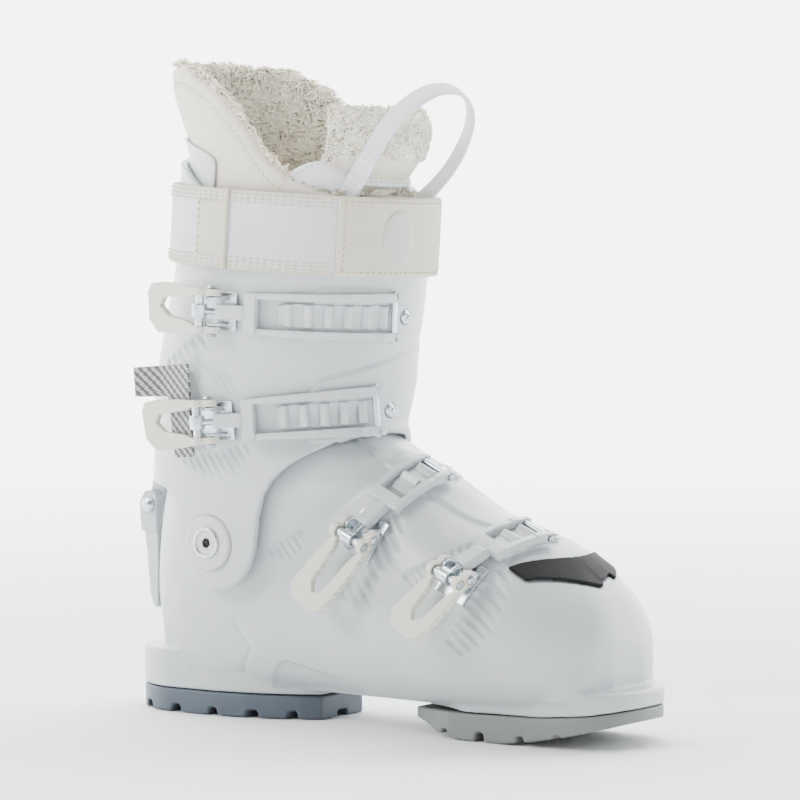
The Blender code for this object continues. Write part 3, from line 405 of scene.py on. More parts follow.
WHITE = (0.60, 0.645, 0.66)
CREAM = (0.77, 0.745, 0.655)
MATS = {
    "shell": plastic("shell_plastic", WHITE),
    "cuff": plastic("cuff_plastic", (0.61, 0.655, 0.668)),
    "frame": plastic("frame_plastic", (0.62, 0.66, 0.675), 0.28),
    "cream": lever_plastic("lever_plastic", CREAM),
    "steel": steel("zinc_steel"),
    "seal": rubber("seal_rubber", (0.010, 0.010, 0.011), 0.75),
    "heel": rubber("heel_tread", (0.135, 0.165, 0.205), 0.42, 700, 0.15),
    "toe": rubber("toe_tread", (0.30, 0.325, 0.31), 0.5, 700, 0.1),
    "strap": webbing("strap_webbing", (0.66, 0.675, 0.72)),
    "felt": cloth("strap_felt", (0.60, 0.565, 0.455), 1500, 0.6),
    "liner": cloth("liner_felt", (0.72, 0.675, 0.575), 1300, 0.45),
    "fur": wool("liner_wool", (0.93, 0.865, 0.71)),
    "tape": satin_tape("loop_tape", (0.80, 0.81, 0.86)),
    "board": cloth("board_grey", (0.16, 0.165, 0.17), 900, 0.3, 0.05),
    "print": printed("lever_print", (0.50, 0.51, 0.51), (0.085, 0.085, 0.09)),
    "disc": plastic("disc_plastic", (0.72, 0.72, 0.68), 0.3),
    "thread": thread("cream_thread", (0.70, 0.62, 0.44)),
    "dark_thread": thread("beige_thread", (0.42, 0.38, 0.28)),
    "binding": cloth("white_binding", (0.74, 0.76, 0.79), 1800, 0.3, 0.2, 0.05),
    "badge": plastic("badge_film", (0.60, 0.60, 0.55), 0.4),
    "black": rubber("black_insert", (0.012, 0.012, 0.013), 0.4),
}


def finish_part(obj, look):
    """Rename a finished piece after its node and give it its material."""
    base = obj.name.split(".")[0]
    obj.name = obj.data.name = "look_" + base
    obj.data.materials.clear()
    obj.data.materials.append(MATS[look])
    PIECES[base] = obj
    return obj


PIECES = {}
EXTRAS = []


# ------------------------------------------------------------------ mesh helpers
def make(name, verts, faces):
    mesh = bpy.data.meshes.new(name)
    mesh.from_pydata([tuple(v) for v in verts], [], faces)
    mesh.validate()
    mesh.update()
    obj = bpy.data.objects.new(name, mesh)
    bpy.context.scene.collection.objects.link(obj)
    return obj


def loft(name, rings):
    """Closed solid through rings of equal point count, flat caps at both ends."""
    n = len(rings[0])
    verts = [p for ring in rings for p in ring]
    faces = [tuple(range(n - 1, -1, -1))]
    for r in range(len(rings) - 1):
        for i in range(n):
            j = (i + 1) % n
            faces.append((r * n + i, r * n + j, (r + 1) * n + j, (r + 1) * n + i))
    faces.append(tuple((len(rings) - 1) * n + i for i in range(n)))
    obj = make(name, verts, faces)
    outward(obj)
    return obj


def volume(mesh):
    total = 0.0
    mesh.calc_loop_triangles()
    for tri in mesh.loop_triangles:
        a, b, c = (mesh.vertices[i].co for i in tri.vertices)
        total += a.dot(b.cross(c))
    return total / 6.0


def outward(obj):
    if volume(obj.data) < 0:
        obj.data.flip_normals()


def boolean(obj, tool, operation):
    """Apply a boolean and remove its tool."""
    mod = obj.modifiers.new("cut", "BOOLEAN")
    mod.operation = operation
    mod.object = tool
    before = (len(obj.data.vertices), len(obj.data.polygons))
    for solver in ("MANIFOLD", "EXACT"):
        mod.solver = solver
        graph = bpy.context.evaluated_depsgraph_get()
        mesh = bpy.data.meshes.new_from_object(obj.evaluated_get(graph))
        if len(mesh.vertices) and (len(mesh.vertices), len(mesh.polygons)) != before:
            break
    obj.modifiers.clear()
    obj.data = mesh
    bpy.data.objects.remove(tool)
    return obj


def join(first, *others):
    for other in others:
        boolean(first, other, "UNION")
    return first


def cut(first, *others):
    for other in others:
        boolean(first, other, "DIFFERENCE")
    return first


def keep(first, *others):
    for other in others:
        boolean(first, other, "INTERSECT")
    return first


def prism_y(name, outline, y0, y1):
    """Side profile (x, z) extruded across the boot."""
    return loft(name, [[Vector((x, y, z)) for x, z in outline] for y in (y0, y1)])


def prism_z(name, outline, z0, z1):
    """Plan outline (x, y) extruded upwards."""
    return loft(name, [[Vector((x, y, z)) for x, y in outline] for z in (z0, z1)])


def prism(name, outline, frame, w0, w1):
    """Outline (s, n) in a local frame extruded along the frame's w axis."""
    return loft(name, [[frame @ Vector((s, w, n)) for s, n in outline] for w in (w0, w1)])


def plate(name, outline, frame, n0, n1):
    """Outline (s, w) in a local frame extruded along the frame's n axis."""
    return loft(name, [[frame @ Vector((s, w, n)) for s, w in outline] for n in (n0, n1)])


def rod(name, start, end, radius, sides=12, end_radius=None):
    """Cylinder, or cone, between two points."""
    start, end = Vector(start), Vector(end)
    axis = (end - start).normalized()
    side = axis.orthogonal().normalized()
    other = axis.cross(side)
    sides = sides if sides == 6 else max(sides, 32)
    rings = []
    for centre, r in ((start, radius), (end, end_radius or radius)):
        rings.append([centre + r * (side * math.cos(a) + other * math.sin(a))
                      for a in (2 * math.pi * i / sides for i in range(sides))])
    return loft(name, rings)


def turned(name, start, direction, profile, sides=24):
    """Solid of revolution: profile rows are distance along the axis and radius."""
    sides = max(sides, 64)
    start, axis = Vector(start), Vector(direction).normalized()
    side = axis.orthogonal().normalized()
    other = axis.cross(side)
    rings = [[start + axis * t + r * (side * math.cos(a) + other * math.sin(a))
              for a in (2 * math.pi * i / sides for i in range(sides))] for t, r in profile]
    return loft(name, rings)


def smooth(rows, t):
    """Row of values at t, a smooth curve through the rows keyed by their first value."""
    if t <= rows[0][0]:
        return [float(v) for v in rows[0][1:]]
    if t >= rows[-1][0]:
        return [float(v) for v in rows[-1][1:]]
    k = max(i for i in range(len(rows) - 1) if rows[i][0] <= t)
    a, b = rows[k], rows[k + 1]
    before, after = rows[max(k - 1, 0)], rows[min(k + 2, len(rows) - 1)]
    h = b[0] - a[0]
    u = (t - a[0]) / h
    out = []
    for c in range(1, len(a)):
        slope_a = (b[c] - before[c]) / (b[0] - before[0])
        slope_b = (after[c] - a[c]) / (after[0] - a[0])
        out.append((2 * u ** 3 - 3 * u ** 2 + 1) * a[c] + (u ** 3 - 2 * u ** 2 + u) * h * slope_a
                   + (-2 * u ** 3 + 3 * u ** 2) * b[c] + (u ** 3 - u ** 2) * h * slope_b)
    return out


def stations(start, end, count):
    return [start + (end - start) * i / (count - 1) for i in range(count)]


def unit_ring(power):
    count = DETAIL["ring"]
    ring = []
    for i in range(count):
        a = 2 * math.pi * i / count
        c, s = math.cos(a), math.sin(a)
        ring.append((math.copysign(abs(c) ** (2 / power), c),
                     math.copysign(abs(s) ** (2 / power), s)))
    return ring


def foot_solid(name, inset=0.0, floor=None, start=-118.0):
    """Foot-shaped solid; inset shrinks it evenly, floor lifts its underside."""
    rings = []
    xs = stations(start + inset, 100, 13) + [108, 114, 119, 123, 126, 129]
    if DETAIL["dense"]:
        xs = stations(start + inset, 110, 120) + stations(110.5, 129, 38)
    for x in xs:
        low, high, wide, lateral, medial = smooth(FOOT, x)
        power = 2.25
        low = low + inset if floor is None else max(low + 2.0, floor)
        high, lateral, medial = high - inset, lateral - inset, medial - inset
        wide = min(max(wide, low + 6), high - 6)
        shift = inset * max(0.0, min(1.0, (x - 60) / 60.0))
        ring = []
        for cy, cz in unit_ring(power):
            flat = 0.62 if cz < 0 else 1.0
            y = math.copysign(abs(cy) ** (flat if cz < 0 else 1.0), cy)
            y *= medial if cy > 0 else lateral
            z = wide + cz * ((high - wide) if cz > 0 else (wide - low))
            ring.append(Vector((x - shift, y, z)))
        rings.append(ring)
    return loft(name, rings)


def tube_solid(name, rows, z0, z1, count, inset=0.0, power=2.15):
    """Upright oval solid from rows of z, back x, front x, half width."""
    rings = []
    if DETAIL["dense"]:
        count = max(count, int((z1 - z0) / 1.8))
    for z in stations(z0, z1, count):
        back, front, half = smooth(rows, z)
        middle, depth = (back + front) / 2, (front - back) / 2 - inset
        ring = [Vector((middle + cx * depth, cy * (half - inset), z))
                for cx, cy in unit_ring(power)]
        rings.append(ring)
    return loft(name, rings)


def heel_outline(inset=0.0, steps=56):
    """Plan outline of the heel: round behind, drawn in towards the waist."""
    centre = HEEL_BACK + LUG_RADIUS
    points = []
    for i in range(steps + 1):
        a = math.pi / 2 + math.pi * i / steps
        points.append((centre + (LUG_RADIUS - inset) * math.cos(a),
                       (LUG_RADIUS - inset) * math.sin(a)))
    side = [(-82, 34.6), (-66, 32.2), (-52, 28.0), (-40, 22.6), (-31 - inset, 17.0)]
    points += [(x, -y + inset) for x, y in side]
    return points + [(x, y - inset) for x, y in reversed(side)]


def toe_outline(rear, half_rear, half, tip, inset=0.0, steps=72):
    points = [(rear + inset, half_rear - inset), (rear + inset, -half_rear + inset),
              (rear + 24, -half + inset)]
    centre = tip - 31.0
    for i in range(steps + 1):
        a = -math.pi / 2 + math.pi * i / steps
        c, s = math.cos(a), math.sin(a)
        points.append((centre + (31.0 - inset) * abs(c) ** 0.9,
                       (half - inset) * math.copysign(abs(s) ** 0.9, s)))
    return points + [(rear + 24, half - inset)]


class Band:
    """A path round a body in one plane: s along the path, w across, n outwards."""

    def __init__(self, tree, centre, across, zero_dir, angles, lift=0.0):
        self.w = Vector(across).normalized()
        u = Vector(zero_dir)
        u = (u - self.w * u.dot(self.w)).normalized()
        v = self.w.cross(u)
        if v.x + v.z < 0:
            v = -v
        centre = Vector(centre)
        raw = []
        for angle in angles:
            a = math.radians(angle)
            ray = u * math.cos(a) + v * math.sin(a)
            hit = tree.ray_cast(centre + ray * 200, -ray)[0]
            raw.append((ray, (hit - centre).length + lift))
        radii = [r for _, r in raw]
        for _ in range(3):
            radii = [radii[0]] + [(radii[i - 1] + 2 * radii[i] + radii[i + 1]) / 4
                                  for i in range(1, len(radii) - 1)] + [radii[-1]]
        self.points = [centre + ray * r for (ray, _), r in zip(raw, radii)]
        self.lengths = [0.0]
        for a, b in zip(self.points, self.points[1:]):
            self.lengths.append(self.lengths[-1] + (b - a).length)
        self.centre = centre
        self.origin = 0.0
        self.set_origin(self.lengths[angles.index(0)])

    def set_origin(self, length):
        self.origin = length

    def place(self, s):
        """Point, tangent and outward normal at s."""
        t = s + self.origin
        k = 0
        while k < len(self.lengths) - 2 and self.lengths[k + 1] < t:
            k += 1
        a, b = self.points[k], self.points[k + 1]
        point = a.lerp(b, (t - self.lengths[k]) / (self.lengths[k + 1] - self.lengths[k]))

        def tangent(i):
            i0, i1 = max(i - 1, 0), min(i + 1, len(self.points) - 1)
            return (self.points[i1] - self.points[i0]).normalized()
        f = (t - self.lengths[k]) / (self.lengths[k + 1] - self.lengths[k])
        along = tangent(k).lerp(tangent(k + 1), min(max(f, 0), 1)).normalized()
        normal = along.cross(self.w).normalized()
        if normal.dot(point - self.centre) < 0:
            normal = -normal
        return point, along, normal

    def at(self, s, w, n):
        point, _, normal = self.place(s)
        return point + self.w * w + normal * n

    def frame(self, s, n=0.0):
        """Matrix from local (s, w, n) to the boot at this place."""
        point, along, normal = self.place(s)
        mat = Matrix.Identity(4)
        for row in range(3):
            mat[row][0], mat[row][1], mat[row][2] = along[row], self.w[row], normal[row]
            mat[row][3] = (point + normal * n)[row]
        return mat

    def bar(self, name, s0, s1, w0, w1, n0, n1, steps=2):
        """Rectangular bar that follows the path; w or n may change from end to end."""
        rings = []
        steps *= 4
        for i in range(steps + 1):
            f = i / steps
            s = s0 + (s1 - s0) * f
            wa, wb = pick(w0, f), pick(w1, f)
            na, nb = pick(n0, f), pick(n1, f)
            rings.append([self.at(s, wa, na), self.at(s, wb, na),
                          self.at(s, wb, nb), self.at(s, wa, nb)])
        return loft(name, rings)


def pick(value, f):
    if isinstance(value, tuple):
        return value[0] + (value[1] - value[0]) * f
    return value


def tree_of(obj):
    mesh = obj.data
    return BVHTree.FromPolygons([v.co.copy() for v in mesh.vertices],
                                [tuple(p.vertices) for p in mesh.polygons])


# ------------------------------------------------------------------ moulded surfaces
def mould(obj, voxel, rounds=3, ratio=1.0):
    """Round every edge as moulding does: fine remesh, light smoothing, fewer faces."""
    remesh = obj.modifiers.new("remesh", "REMESH")
    remesh.mode = "VOXEL"
    remesh.voxel_size = voxel
    soften = obj.modifiers.new("smooth", "SMOOTH")
    soften.factor = 0.5
    soften.iterations = rounds
    if ratio < 1.0:
        thin = obj.modifiers.new("thin", "DECIMATE")
        thin.ratio = ratio
    return settle(obj)


def settle(obj):
    """Apply an object's modifiers."""
    graph = bpy.context.evaluated_depsgraph_get()
    mesh = bpy.data.meshes.new_from_object(obj.evaluated_get(graph))
    mats = [m for m in obj.data.materials]
    obj.modifiers.clear()
    obj.data = mesh
    obj.data.materials.clear()
    for m in mats:
        obj.data.materials.append(m)
    return obj


def shade_smooth(obj):
    obj.data.shade_smooth()
    return obj


def ease(x):
    x = min(max(x, 0.0), 1.0)
    return x * x * (3 - 2 * x)


def relieve(obj, height):
    """Move each vertex along its normal by height(point, normal), in millimetres."""
    mesh = obj.data
    moves = []
    for v in mesh.vertices:
        h = height(v.co, v.normal)
        moves.append(h * v.normal if h else None)
    for v, m in zip(mesh.vertices, moves):
        if m is not None:
            v.co += m
    mesh.update()
    return obj


class Strokes:
    """Short moulded strokes on the outer side, given by their ends in x and z."""

    def __init__(self, rows, depth, width):
        self.rows = [(Vector((a, b)), Vector((c, d))) for a, b, c, d in rows]
        self.depth, self.width = depth, width
        pad = width * 2
        self.boxes = [(min(a.x, b.x) - pad, max(a.x, b.x) + pad, min(a.y, b.y) - pad,
                       max(a.y, b.y) + pad) for a, b in self.rows]

    def height(self, x, z):
        best = 0.0
        for (a, b), (x0, x1, z0, z1) in zip(self.rows, self.boxes):
            if x0 < x < x1 and z0 < z < z1:
                along = b - a
                t = ((x - a.x) * along.x + (z - a.y) * along.y) / along.length_squared
                t = min(max(t, 0.0), 1.0)
                dx, dz = x - a.x - t * along.x, z - a.y - t * along.y
                wide = self.width * (1.15 - 0.75 * t)
                d = math.hypot(dx, dz) / wide
                if d < 1.0:
                    best = max(best, self.depth * (1 - d * d) * (1.0 - 0.45 * t))
        return best


def across_line(points, x):
    """Value of a polyline at x."""
    if x <= points[0][0]:
        return points[0][1]
    for (x0, y0), (x1, y1) in zip(points, points[1:]):
        if x <= x1:
            return y0 + (y1 - y0) * (x - x0) / (x1 - x0)
    return points[-1][1]


def near_polyline(points, x, z):
    best = 1e9
    for (x0, z0), (x1, z1) in zip(points, points[1:]):
        dx, dz = x1 - x0, z1 - z0
        t = ((x - x0) * dx + (z - z0) * dz) / (dx * dx + dz * dz)
        t = min(max(t, 0.0), 1.0)
        best = min(best, math.hypot(x - x0 - t * dx, z - z0 - t * dz))
    return best


def inside(points, x, z):
    hit = False
    for (x0, z0), (x1, z1) in zip(points, points[1:] + points[:1]):
        if (z0 > z) != (z1 > z) and x < x0 + (z - z0) * (x1 - x0) / (z1 - z0):
            hit = not hit
    return hit


# strokes moulded beside the buckles: x, z of the thick end, x, z of the thin end
def fan(first, last, count, heading, longest, shortest):
    """Slanted strokes side by side, the longest in the middle of their row."""
    rows = []
    for i in range(count):
        f = i / (count - 1)
        x, z = (a + (b - a) * f for a, b in zip(first, last))
        size = shortest + (longest - shortest) * math.sin(math.pi * f) * (1.0, 0.8)[i % 2]
        a = math.radians(heading)
        rows.append((x, z, x + size * math.cos(a), z - size * math.sin(a)))
    return rows


SHELL_STROKES = (fan((-4, 70), (24, 102), 9, 50, 30, 10) + fan((-43, 82), (-27, 90), 6, 55, 9, 3)
                 + fan((38, 75), (64, 89), 10, 42, 15, 7) + fan((65, 48), (84, 80), 9, 40, 17, 9))
CUFF_STROKES = (fan((-87, 124), (-49, 132), 10, 58, 13, 4)
                + fan((-98, 170), (-74, 183), 6, 47, 16, 9)
                + fan((-76, 173), (-58, 168), 5, 50, 20, 8))
OVERLAP = [(-20, -15), (5, -20), (32, -21), (62, -18), (88, -14)]
HEEL_LINE = [(-96, 21), (-66, 21), (-56, 35), (-66, 46)]
SCOOP = [(-54, 15), (-42, 29), (-36, 31), (6, 22), (6, 15)]


def shell_height(strokes):
    """Surface detail of the lower shell: strokes, flap edge, heel line and waist scoop."""
    def height(p, n):
        h = 0.0
        if n.y < -0.15 and p.y < -25 and p.z > 38:
            h -= strokes.height(p.x, p.z)
        if n.z > 0.25 and p.z > 88 and -30 < p.x < 84:
            gap = p.y - across_line(OVERLAP, p.x)
            fade = ease((84 - p.x) / 10.0)
            if gap > -2:
                h += 1.1 * ease(gap / 1.5) * ease((30 - gap) / 14.0) * fade
            h -= 0.5 * max(0.0, 1 - abs(gap + 0.8) / 1.2) * fade
        if abs(n.y) > 0.3 and p.z < 50 and abs(p.y) > 20:
            d = near_polyline(HEEL_LINE, p.x, p.z)
            if d < 1.6 and p.z > 17:
                h -= 0.55 * (1 - (d / 1.6) ** 2)
            if inside(SCOOP, p.x, p.z):
                edge = near_polyline(SCOOP[:4], p.x, p.z)
                h -= 1.5 * ease(edge / 2.4)
        return h
    return height


def pad_share(angle, z):
    """How far the raised pads under the cuff's racks stand up at a place."""
    corner = 4 * ease((-41 - angle) / 4.5)
    upper = 166 + 0.25 * (angle + 32) - corner
    top = 207 - 0.05 * (angle + 39) - corner
    side = ease((angle + 46.5) / 2.2)
    low = ease((upper - z) / 1.8)
    high = ease((top - z) / 1.8) * ease((z - 182.5) / 2.0)
    return side * max(low, high)


def cuff_height(strokes):
    def height(p, n):
        h = 0.0
        radial = Vector((p.x + 60, p.y, 0))
        if n.dot(radial) <= 0:
            return 0.0
        if n.y < -0.4 and p.y < -30:
            h -= strokes.height(p.x, p.z)
        angle = math.degrees(math.atan2(p.y, p.x + 60))
        if -50 < angle < 27 and p.z > 134:
            h += 1.15 * pad_share(angle, p.z) * ease((24.5 - angle) / 1.6)
        return h
    return height


# ------------------------------------------------------------------ hard pieces
def outer_shell(name):
    """Foot and ankle of the shell in one; the fine one has its crease filleted."""
    body = foot_solid(name)
    join(body, tube_solid("shaft", SHAFT, 13, 153, 16))
    return mould(body, 1.7, 8) if DETAIL["dense"] else body


def heel_lug():
    return prism_z("heel_lug", heel_outline(), 11.5, HEEL_LUG_TOP)


def toe_lug():
    lug = prism_z("toe_lug", toe_outline(38, 26, 34.5, TOE_TIP), 8, TOE_LUG_TOP)
    side = [(30, 14.5), (60, 13.2), (100, 13.6), (125, 15.6), (150, 19.4),
            (150, 26), (108, 26), (100, 23), (60, 21), (30, 19)]
    return keep(lug, prism_y("side", side, -60, 60))


def toe_wall():
    """Upright foot of the toe box, so that nothing overhangs the toe ledge."""
    left, right = [], []
    for x in stations(106, 129, 10):
        _, _, _, lateral, medial = smooth(FOOT, x)
        share = 0.84 + 0.16 * min((x - 106) / 14.0, 1.0)
        left.append((x, -lateral * share))
        right.append((x, medial * share))
    return prism_z("toe_wall", left + right[::-1], 21, 37)


def lower_shell():
    """Hollow shell with both lugs; its waist stays clear of the ground."""
    shell = outer_shell("lower_shell")
    join(shell, toe_wall(), heel_lug(), toe_lug())
    cut(shell, prism_y("arch", [(-150, 5), (150, 5), (150, 12), (-150, 11.5)], -70, 70))
    hollow = foot_solid("hollow", SHELL_WALL, FLOOR)
    join(hollow, tube_solid("shaft", SHAFT, FLOOR, 153, 15, SHELL_WALL))
    cut(shell, hollow)
    top = [(-160, 116), (-100, 116), (-60, 118), (-45, 124), (-34, 134), (-27, 143), (-20, 147.5),
           (30, 175), (30, 200), (-160, 200)]
    cut(shell, prism_y("rim", top, -90, 90))
    cut(shell, seal_pocket(), *screw_wells(), *rivet_holes())
    return finish_part(shell, "shell")


def drop(tree, x, y):
    hit, normal, _, _ = tree.ray_cast(Vector((x, y, 300)), Vector((0, 0, -1)))
    return hit, normal


def crescent(name, grow, low, high):
    """Curved patch across the top of the toe box, between two depths below its skin."""
    tree = FORM["tree"]
    count = 71
    rings = []
    for i in range(count):
        f = -1 + 2 * i / (count - 1)
        y = f * (35.0 + grow)
        rear = 101.5 - 15.0 * f * f - grow
        length = 16.5 * (1 - 0.42 * abs(f)) + 2 * grow
        notch = 3.4 * ease((0.22 - abs(f - 0.12)) / 0.06)
        ring = []
        for x, depth in ((rear, low), (rear + length - notch, low),
                         (rear + length - notch, high), (rear, high)):
            hit, normal = drop(tree, x, y)
            ring.append(hit + normal * depth)
        rings.append(ring)
    return loft(name, rings)


def seal_pocket():
    return crescent("pocket", GAP + 0.1, -1.2, 6.0)


def toe_seal():
    return finish_part(crescent("toe_seal", 0.0, -0.5, 1.4), "seal")


def screw_wells():
    return [rod("well", (x, 0, 5), (x, 0, 16.5), 2.3) for x in (-96, 88)]


def rivet_holes():
    holes = []
    for side in (-1, 1):
        axis = [(PIVOT[0], side * y, PIVOT[1]) for y in (20, 41.3, 70)]
        holes += [rod("hole", axis[0], axis[2], 4.4), rod("well", axis[0], axis[1], 8.0)]
    return holes


def heel_sole():
    sole = prism_z("heel_sole", heel_outline(0.4), 0, 11.5 - GAP)
    cut(sole, prism_y("bevel", [(-150, -1), (-131, -1), (-140, 4.5), (-150, 7)], -60, 60))
    for x, width in ((-126, 7), (-106, 7), (-84, 6.5), (-63, 7.5), (-44, 6)):
        groove = [(x - width / 2, -1), (x + width / 2, -1), (x + width / 3, 3.6),
                  (x - width / 3, 3.6)]
        cut(sole, prism_y("groove", groove, -60, 60))
    cut(sole, prism_z("split", [(-121, -4), (-28, -4), (-28, 4), (-121, 4)], -1, 3.0))
    cut(sole, rod("well", (-96, 0, -1), (-96, 0, 14), 2.3),
        rod("head", (-96, 0, -1), (-96, 0, 7.0), 5.4))
    return finish_part(sole, "heel")


def toe_sole():
    sole = prism_z("toe_sole", toe_outline(29, 25, 34.5, TOE_TIP, 0.3), -2, 25)
    side = [(28, 7.5), (36, 5.5), (45, 2), (58, 0), (82, 0), (97, 1.9), (115, 5.4), (131, 9.4),
            (150, 14.5), (150, 18.9), (125, 15.2), (100, 13.2), (60, 12.3), (28, 12.3)]
    keep(sole, prism_y("side", side, -60, 60))
    for x, width in ((50, 6), (70, 6), (92, 5), (112, 5)):
        lift = 4.2 if x < 100 else 6.2
        groove = [(x - width / 2, -3), (x + width / 2, -3), (x + width / 3, lift),
                  (x - width / 3, lift)]
        cut(sole, prism_y("groove", groove, -60, 60))
    cut(sole, rod("well", (88, 0, -1), (88, 0, 14), 2.3),
        rod("head", (88, 0, -1), (88, 0, 7.5), 5.4))
    return finish_part(sole, "toe")


def sole_screw(name, x, head):
    """Countersunk cap screw pointing up, hex socket in its head."""
    body = turned(name, (x, 0, head), (0, 0, 1), [(0, 4.2), (0.5, 4.6), (2.6, 4.6), (2.6, 1.9),
                                                 (9.0 if x < 0 else 8.4, 1.9)], 14)
    cut(body, rod("hex", (x, 0, head - 1), (x, 0, head + 1.7), 2.1, 6))
    return finish_part(body, "steel")


def ray_wedge(name, front_angle, back_angle, upper):
    """Region above, or below, two rays that start at the ankle pivot."""
    px, pz = PIVOT
    front = (px + 400 * math.cos(math.radians(front_angle)),
             pz + 400 * math.sin(math.radians(front_angle)))
    back = (px - 400 * math.cos(math.radians(back_angle)),
            pz + 400 * math.sin(math.radians(back_angle)))
    if upper:
        outline = [back, (px, pz), front, (400, 700), (-500, 700)]
    else:
        outline = [(px, pz), back, (-500, -100), (500, -100), front]
    return prism_y(name, outline, -120, 120)


def collar_solid(name, inset):
    return tube_solid(name, COLLAR, 84, 318, 20, inset)


def tongue_section(z):
    """Centre x, half depth and half width of the tongue's outside at a height."""
    rows = [(128, -70, 37.5, 25), (150, -72, 33.0, 25.5), (160, -70.5, 35.5, 28), (170, -68, 41.2, 33.5),
            (190, -62, 46.2, 40), (215, -56.6, 48.2, 40), (246, -54.8, 48.8, 39.6),
            (251, -54.6, 49.0, 39.4), (258, -52.5, 55.5, 38), (268, -51, 61.5, 38),
            (280, -50, 64, 38), (289, -50, 61, 37.5)]
    return smooth(rows, z)


def cuff_solid(name, inset):
    return tube_solid(name, CUFF, 56, 272, 24, inset)


def cuff():
    body = cuff_solid("cuff", 0.0)
    cut(body, cuff_solid("inner", CUFF_WALL))
    edge = [(-160, 111), (-128, 111), (-106, 109), (-98, 104), (-94.5, 96), (-93.5, 85)]
    for i in range(11):
        a = math.radians(200 + 140 * i / 10)
        edge.append((-70.5 + 22.5 * math.cos(a), 84.5 + 22.5 * math.sin(a)))
    edge += [(-47.3, 83), (-45, 97), (-41.5, 108.6), (-36.5, 116), (-29, 123), (-18, 130.5),
             (-10, 136), (-2, 139), (30, 141)]
    edge += [(60, 141), (60, 20), (-200, 20), (-200, 111)]
    cut(body, prism_y("edge", edge, -120, 120))
    top = [(-200, 268), (-112, 268), (-92, 262), (-62, 244), (-20, 238), (60, 234), (60, 300),
           (-200, 300)]
    cut(body, prism_y("top", top, -120, 120))
    # lug for the rear strut and the bosses that carry it into the wall
    lug = prism_y("lug", [(-128.6, 106), (-128.6, 132), (-132.5, 132), (-143, 112), (-146, 99),
                          (-143.5, 91.5), (-139, 91.5), (-136.2, 100), (-134.2, 111)], -5.5, 5.5)
    join(body, lug)
    px, pz = PIN
    cut(body, rod("pin_hole", (px, -20, pz), (px, 20, pz), 2.6))
    for side in (-1, 1):
        cut(body, rod("hole", (PIVOT[0], side * 30, PIVOT[1]), (PIVOT[0], side * 70, PIVOT[1]), 4.4))
        cut(body, rod("recess", (PIVOT[0], side * 49.0, PIVOT[1]),
                      (PIVOT[0], side * 70, PIVOT[1]), 13.6, 32))
    return finish_part(body, "cuff")


def ankle_rivet(name, side):
    """Two-part ankle rivet: wide disc outside, stem through cuff and shell."""
    x, z = PIVOT
    profile = [(0, 7.5), (1.4, 7.5), (1.4, 4.0), (9.9, 4.0), (9.9, 13.0), (11.0, 13.2),
               (12.0, 12.2), (12.2, 7.4), (12.9, 6.6), (12.9, 4.0)]
    base = Vector((x, side * 39.5, z))
    body = turned(name, base, (0, side, 0), profile, 18)
    cut(body, rod("hex", base + Vector((0, side * 9.8, 0)),
                  base + Vector((0, side * 20, 0)), 2.6, 6))
    return finish_part(body, "disc")


def rear_strut():
    """Strut behind the heel with a forked head round the cuff's lug."""
    side = [(-136.4, 101.5), (-139.0, 104.5), (-143.5, 104), (-146.6, 99), (-146.9, 93),
            (-144.0, 72), (-141.4, 52), (-138.6, 46.5), (-136.2, 46.5), (-135.9, 60),
            (-136.1, 86)]
    body = prism_y("rear_strut", side, -11.5, 11.5)
    cut(body, prism_y("fork", [(-150, 88), (-130, 88), (-130, 110), (-150, 110)], -5.9, 5.9))
    px, pz = PIN
    cut(body, rod("hole", (px, -20, pz), (px, 20, pz), 2.6))
    for y in (-1, 1):
        corner = [(-160, y * 7.0), (-160, y * 20), (-130, y * 20), (-130, y * 11.5)]
        cut(body, prism_z("chamfer", corner, 30, 84))
    return finish_part(body, "frame")


def strut_pin():
    px, pz = PIN
    return finish_part(turned("strut_pin", (px, -14.2, pz), (0, 1, 0),
                              [(0, 1.6), (0.9, 3.2), (2.2, 4.0), (2.2, 2.3), (25.6, 2.3),
                               (26.0, 2.0)], 14), "steel")


def strap_zone(name, slope_low, slope_high):
    side = [(-200, slope_low + 9), (100, slope_low - 11), (100, slope_high - 11),
            (-200, slope_high + 9)]
    return prism_y(name, side, -120, 120)


def ring_band(name, inner, outer, low, high):
    body = tube_solid(name, CUFF, 200, 270, 5, -outer)
    cut(body, tube_solid("inner", CUFF, 198, 272, 5, -inner))
    return keep(body, strap_zone("zone", low, high))


def pad(name, tree, band, s0, s1, half, top, steps, ends=0.0):
    """Plate whose underside follows the skin with a small gap."""
    rings = []
    steps *= 4
    for i in range(steps + 1):
        s = s0 + (s1 - s0) * i / steps
        w = half - ends * (1 - ease(min(i, steps - i) / 4.0))
        under = [(x, skin(tree, band, s, x) + 0.95) for x in (-w, -w / 2, 0, w / 2, w)]
        rings.append([band.at(s, x, n) for x, n in under]
                     + [band.at(s, x, max(top, n + 0.8)) for x, n in under[::-2]])
    return loft(name, rings)


def buckle_base(n, tree, band):
    frame = band.frame(0.0, HUB)
    body = pad("base_%d" % n, tree, band, -11, 9, 9.2, 1.8, 4)
    for side in (-1, 1):
        w0, w1 = side * 5.4, side * 6.8
        ear = prism("ear", [(-3.6, -HUB + 1.0), (6.0, -HUB + 1.0), (3.2, 0.5), (2.2, 2.4),
                            (0, 3.2), (-2.2, 2.4), (-3.2, 0.5)], frame, w0, w1)
        stub = turned("stub", frame @ Vector((0, side * 6.5, 0)), frame.to_3x3() @
                      Vector((0, side, 0)), [(0, STUB), (4.3, STUB), (4.3, 2.9), (5.6, 2.0)], 12)
        join(body, ear, stub)
    return finish_part(body, "steel")


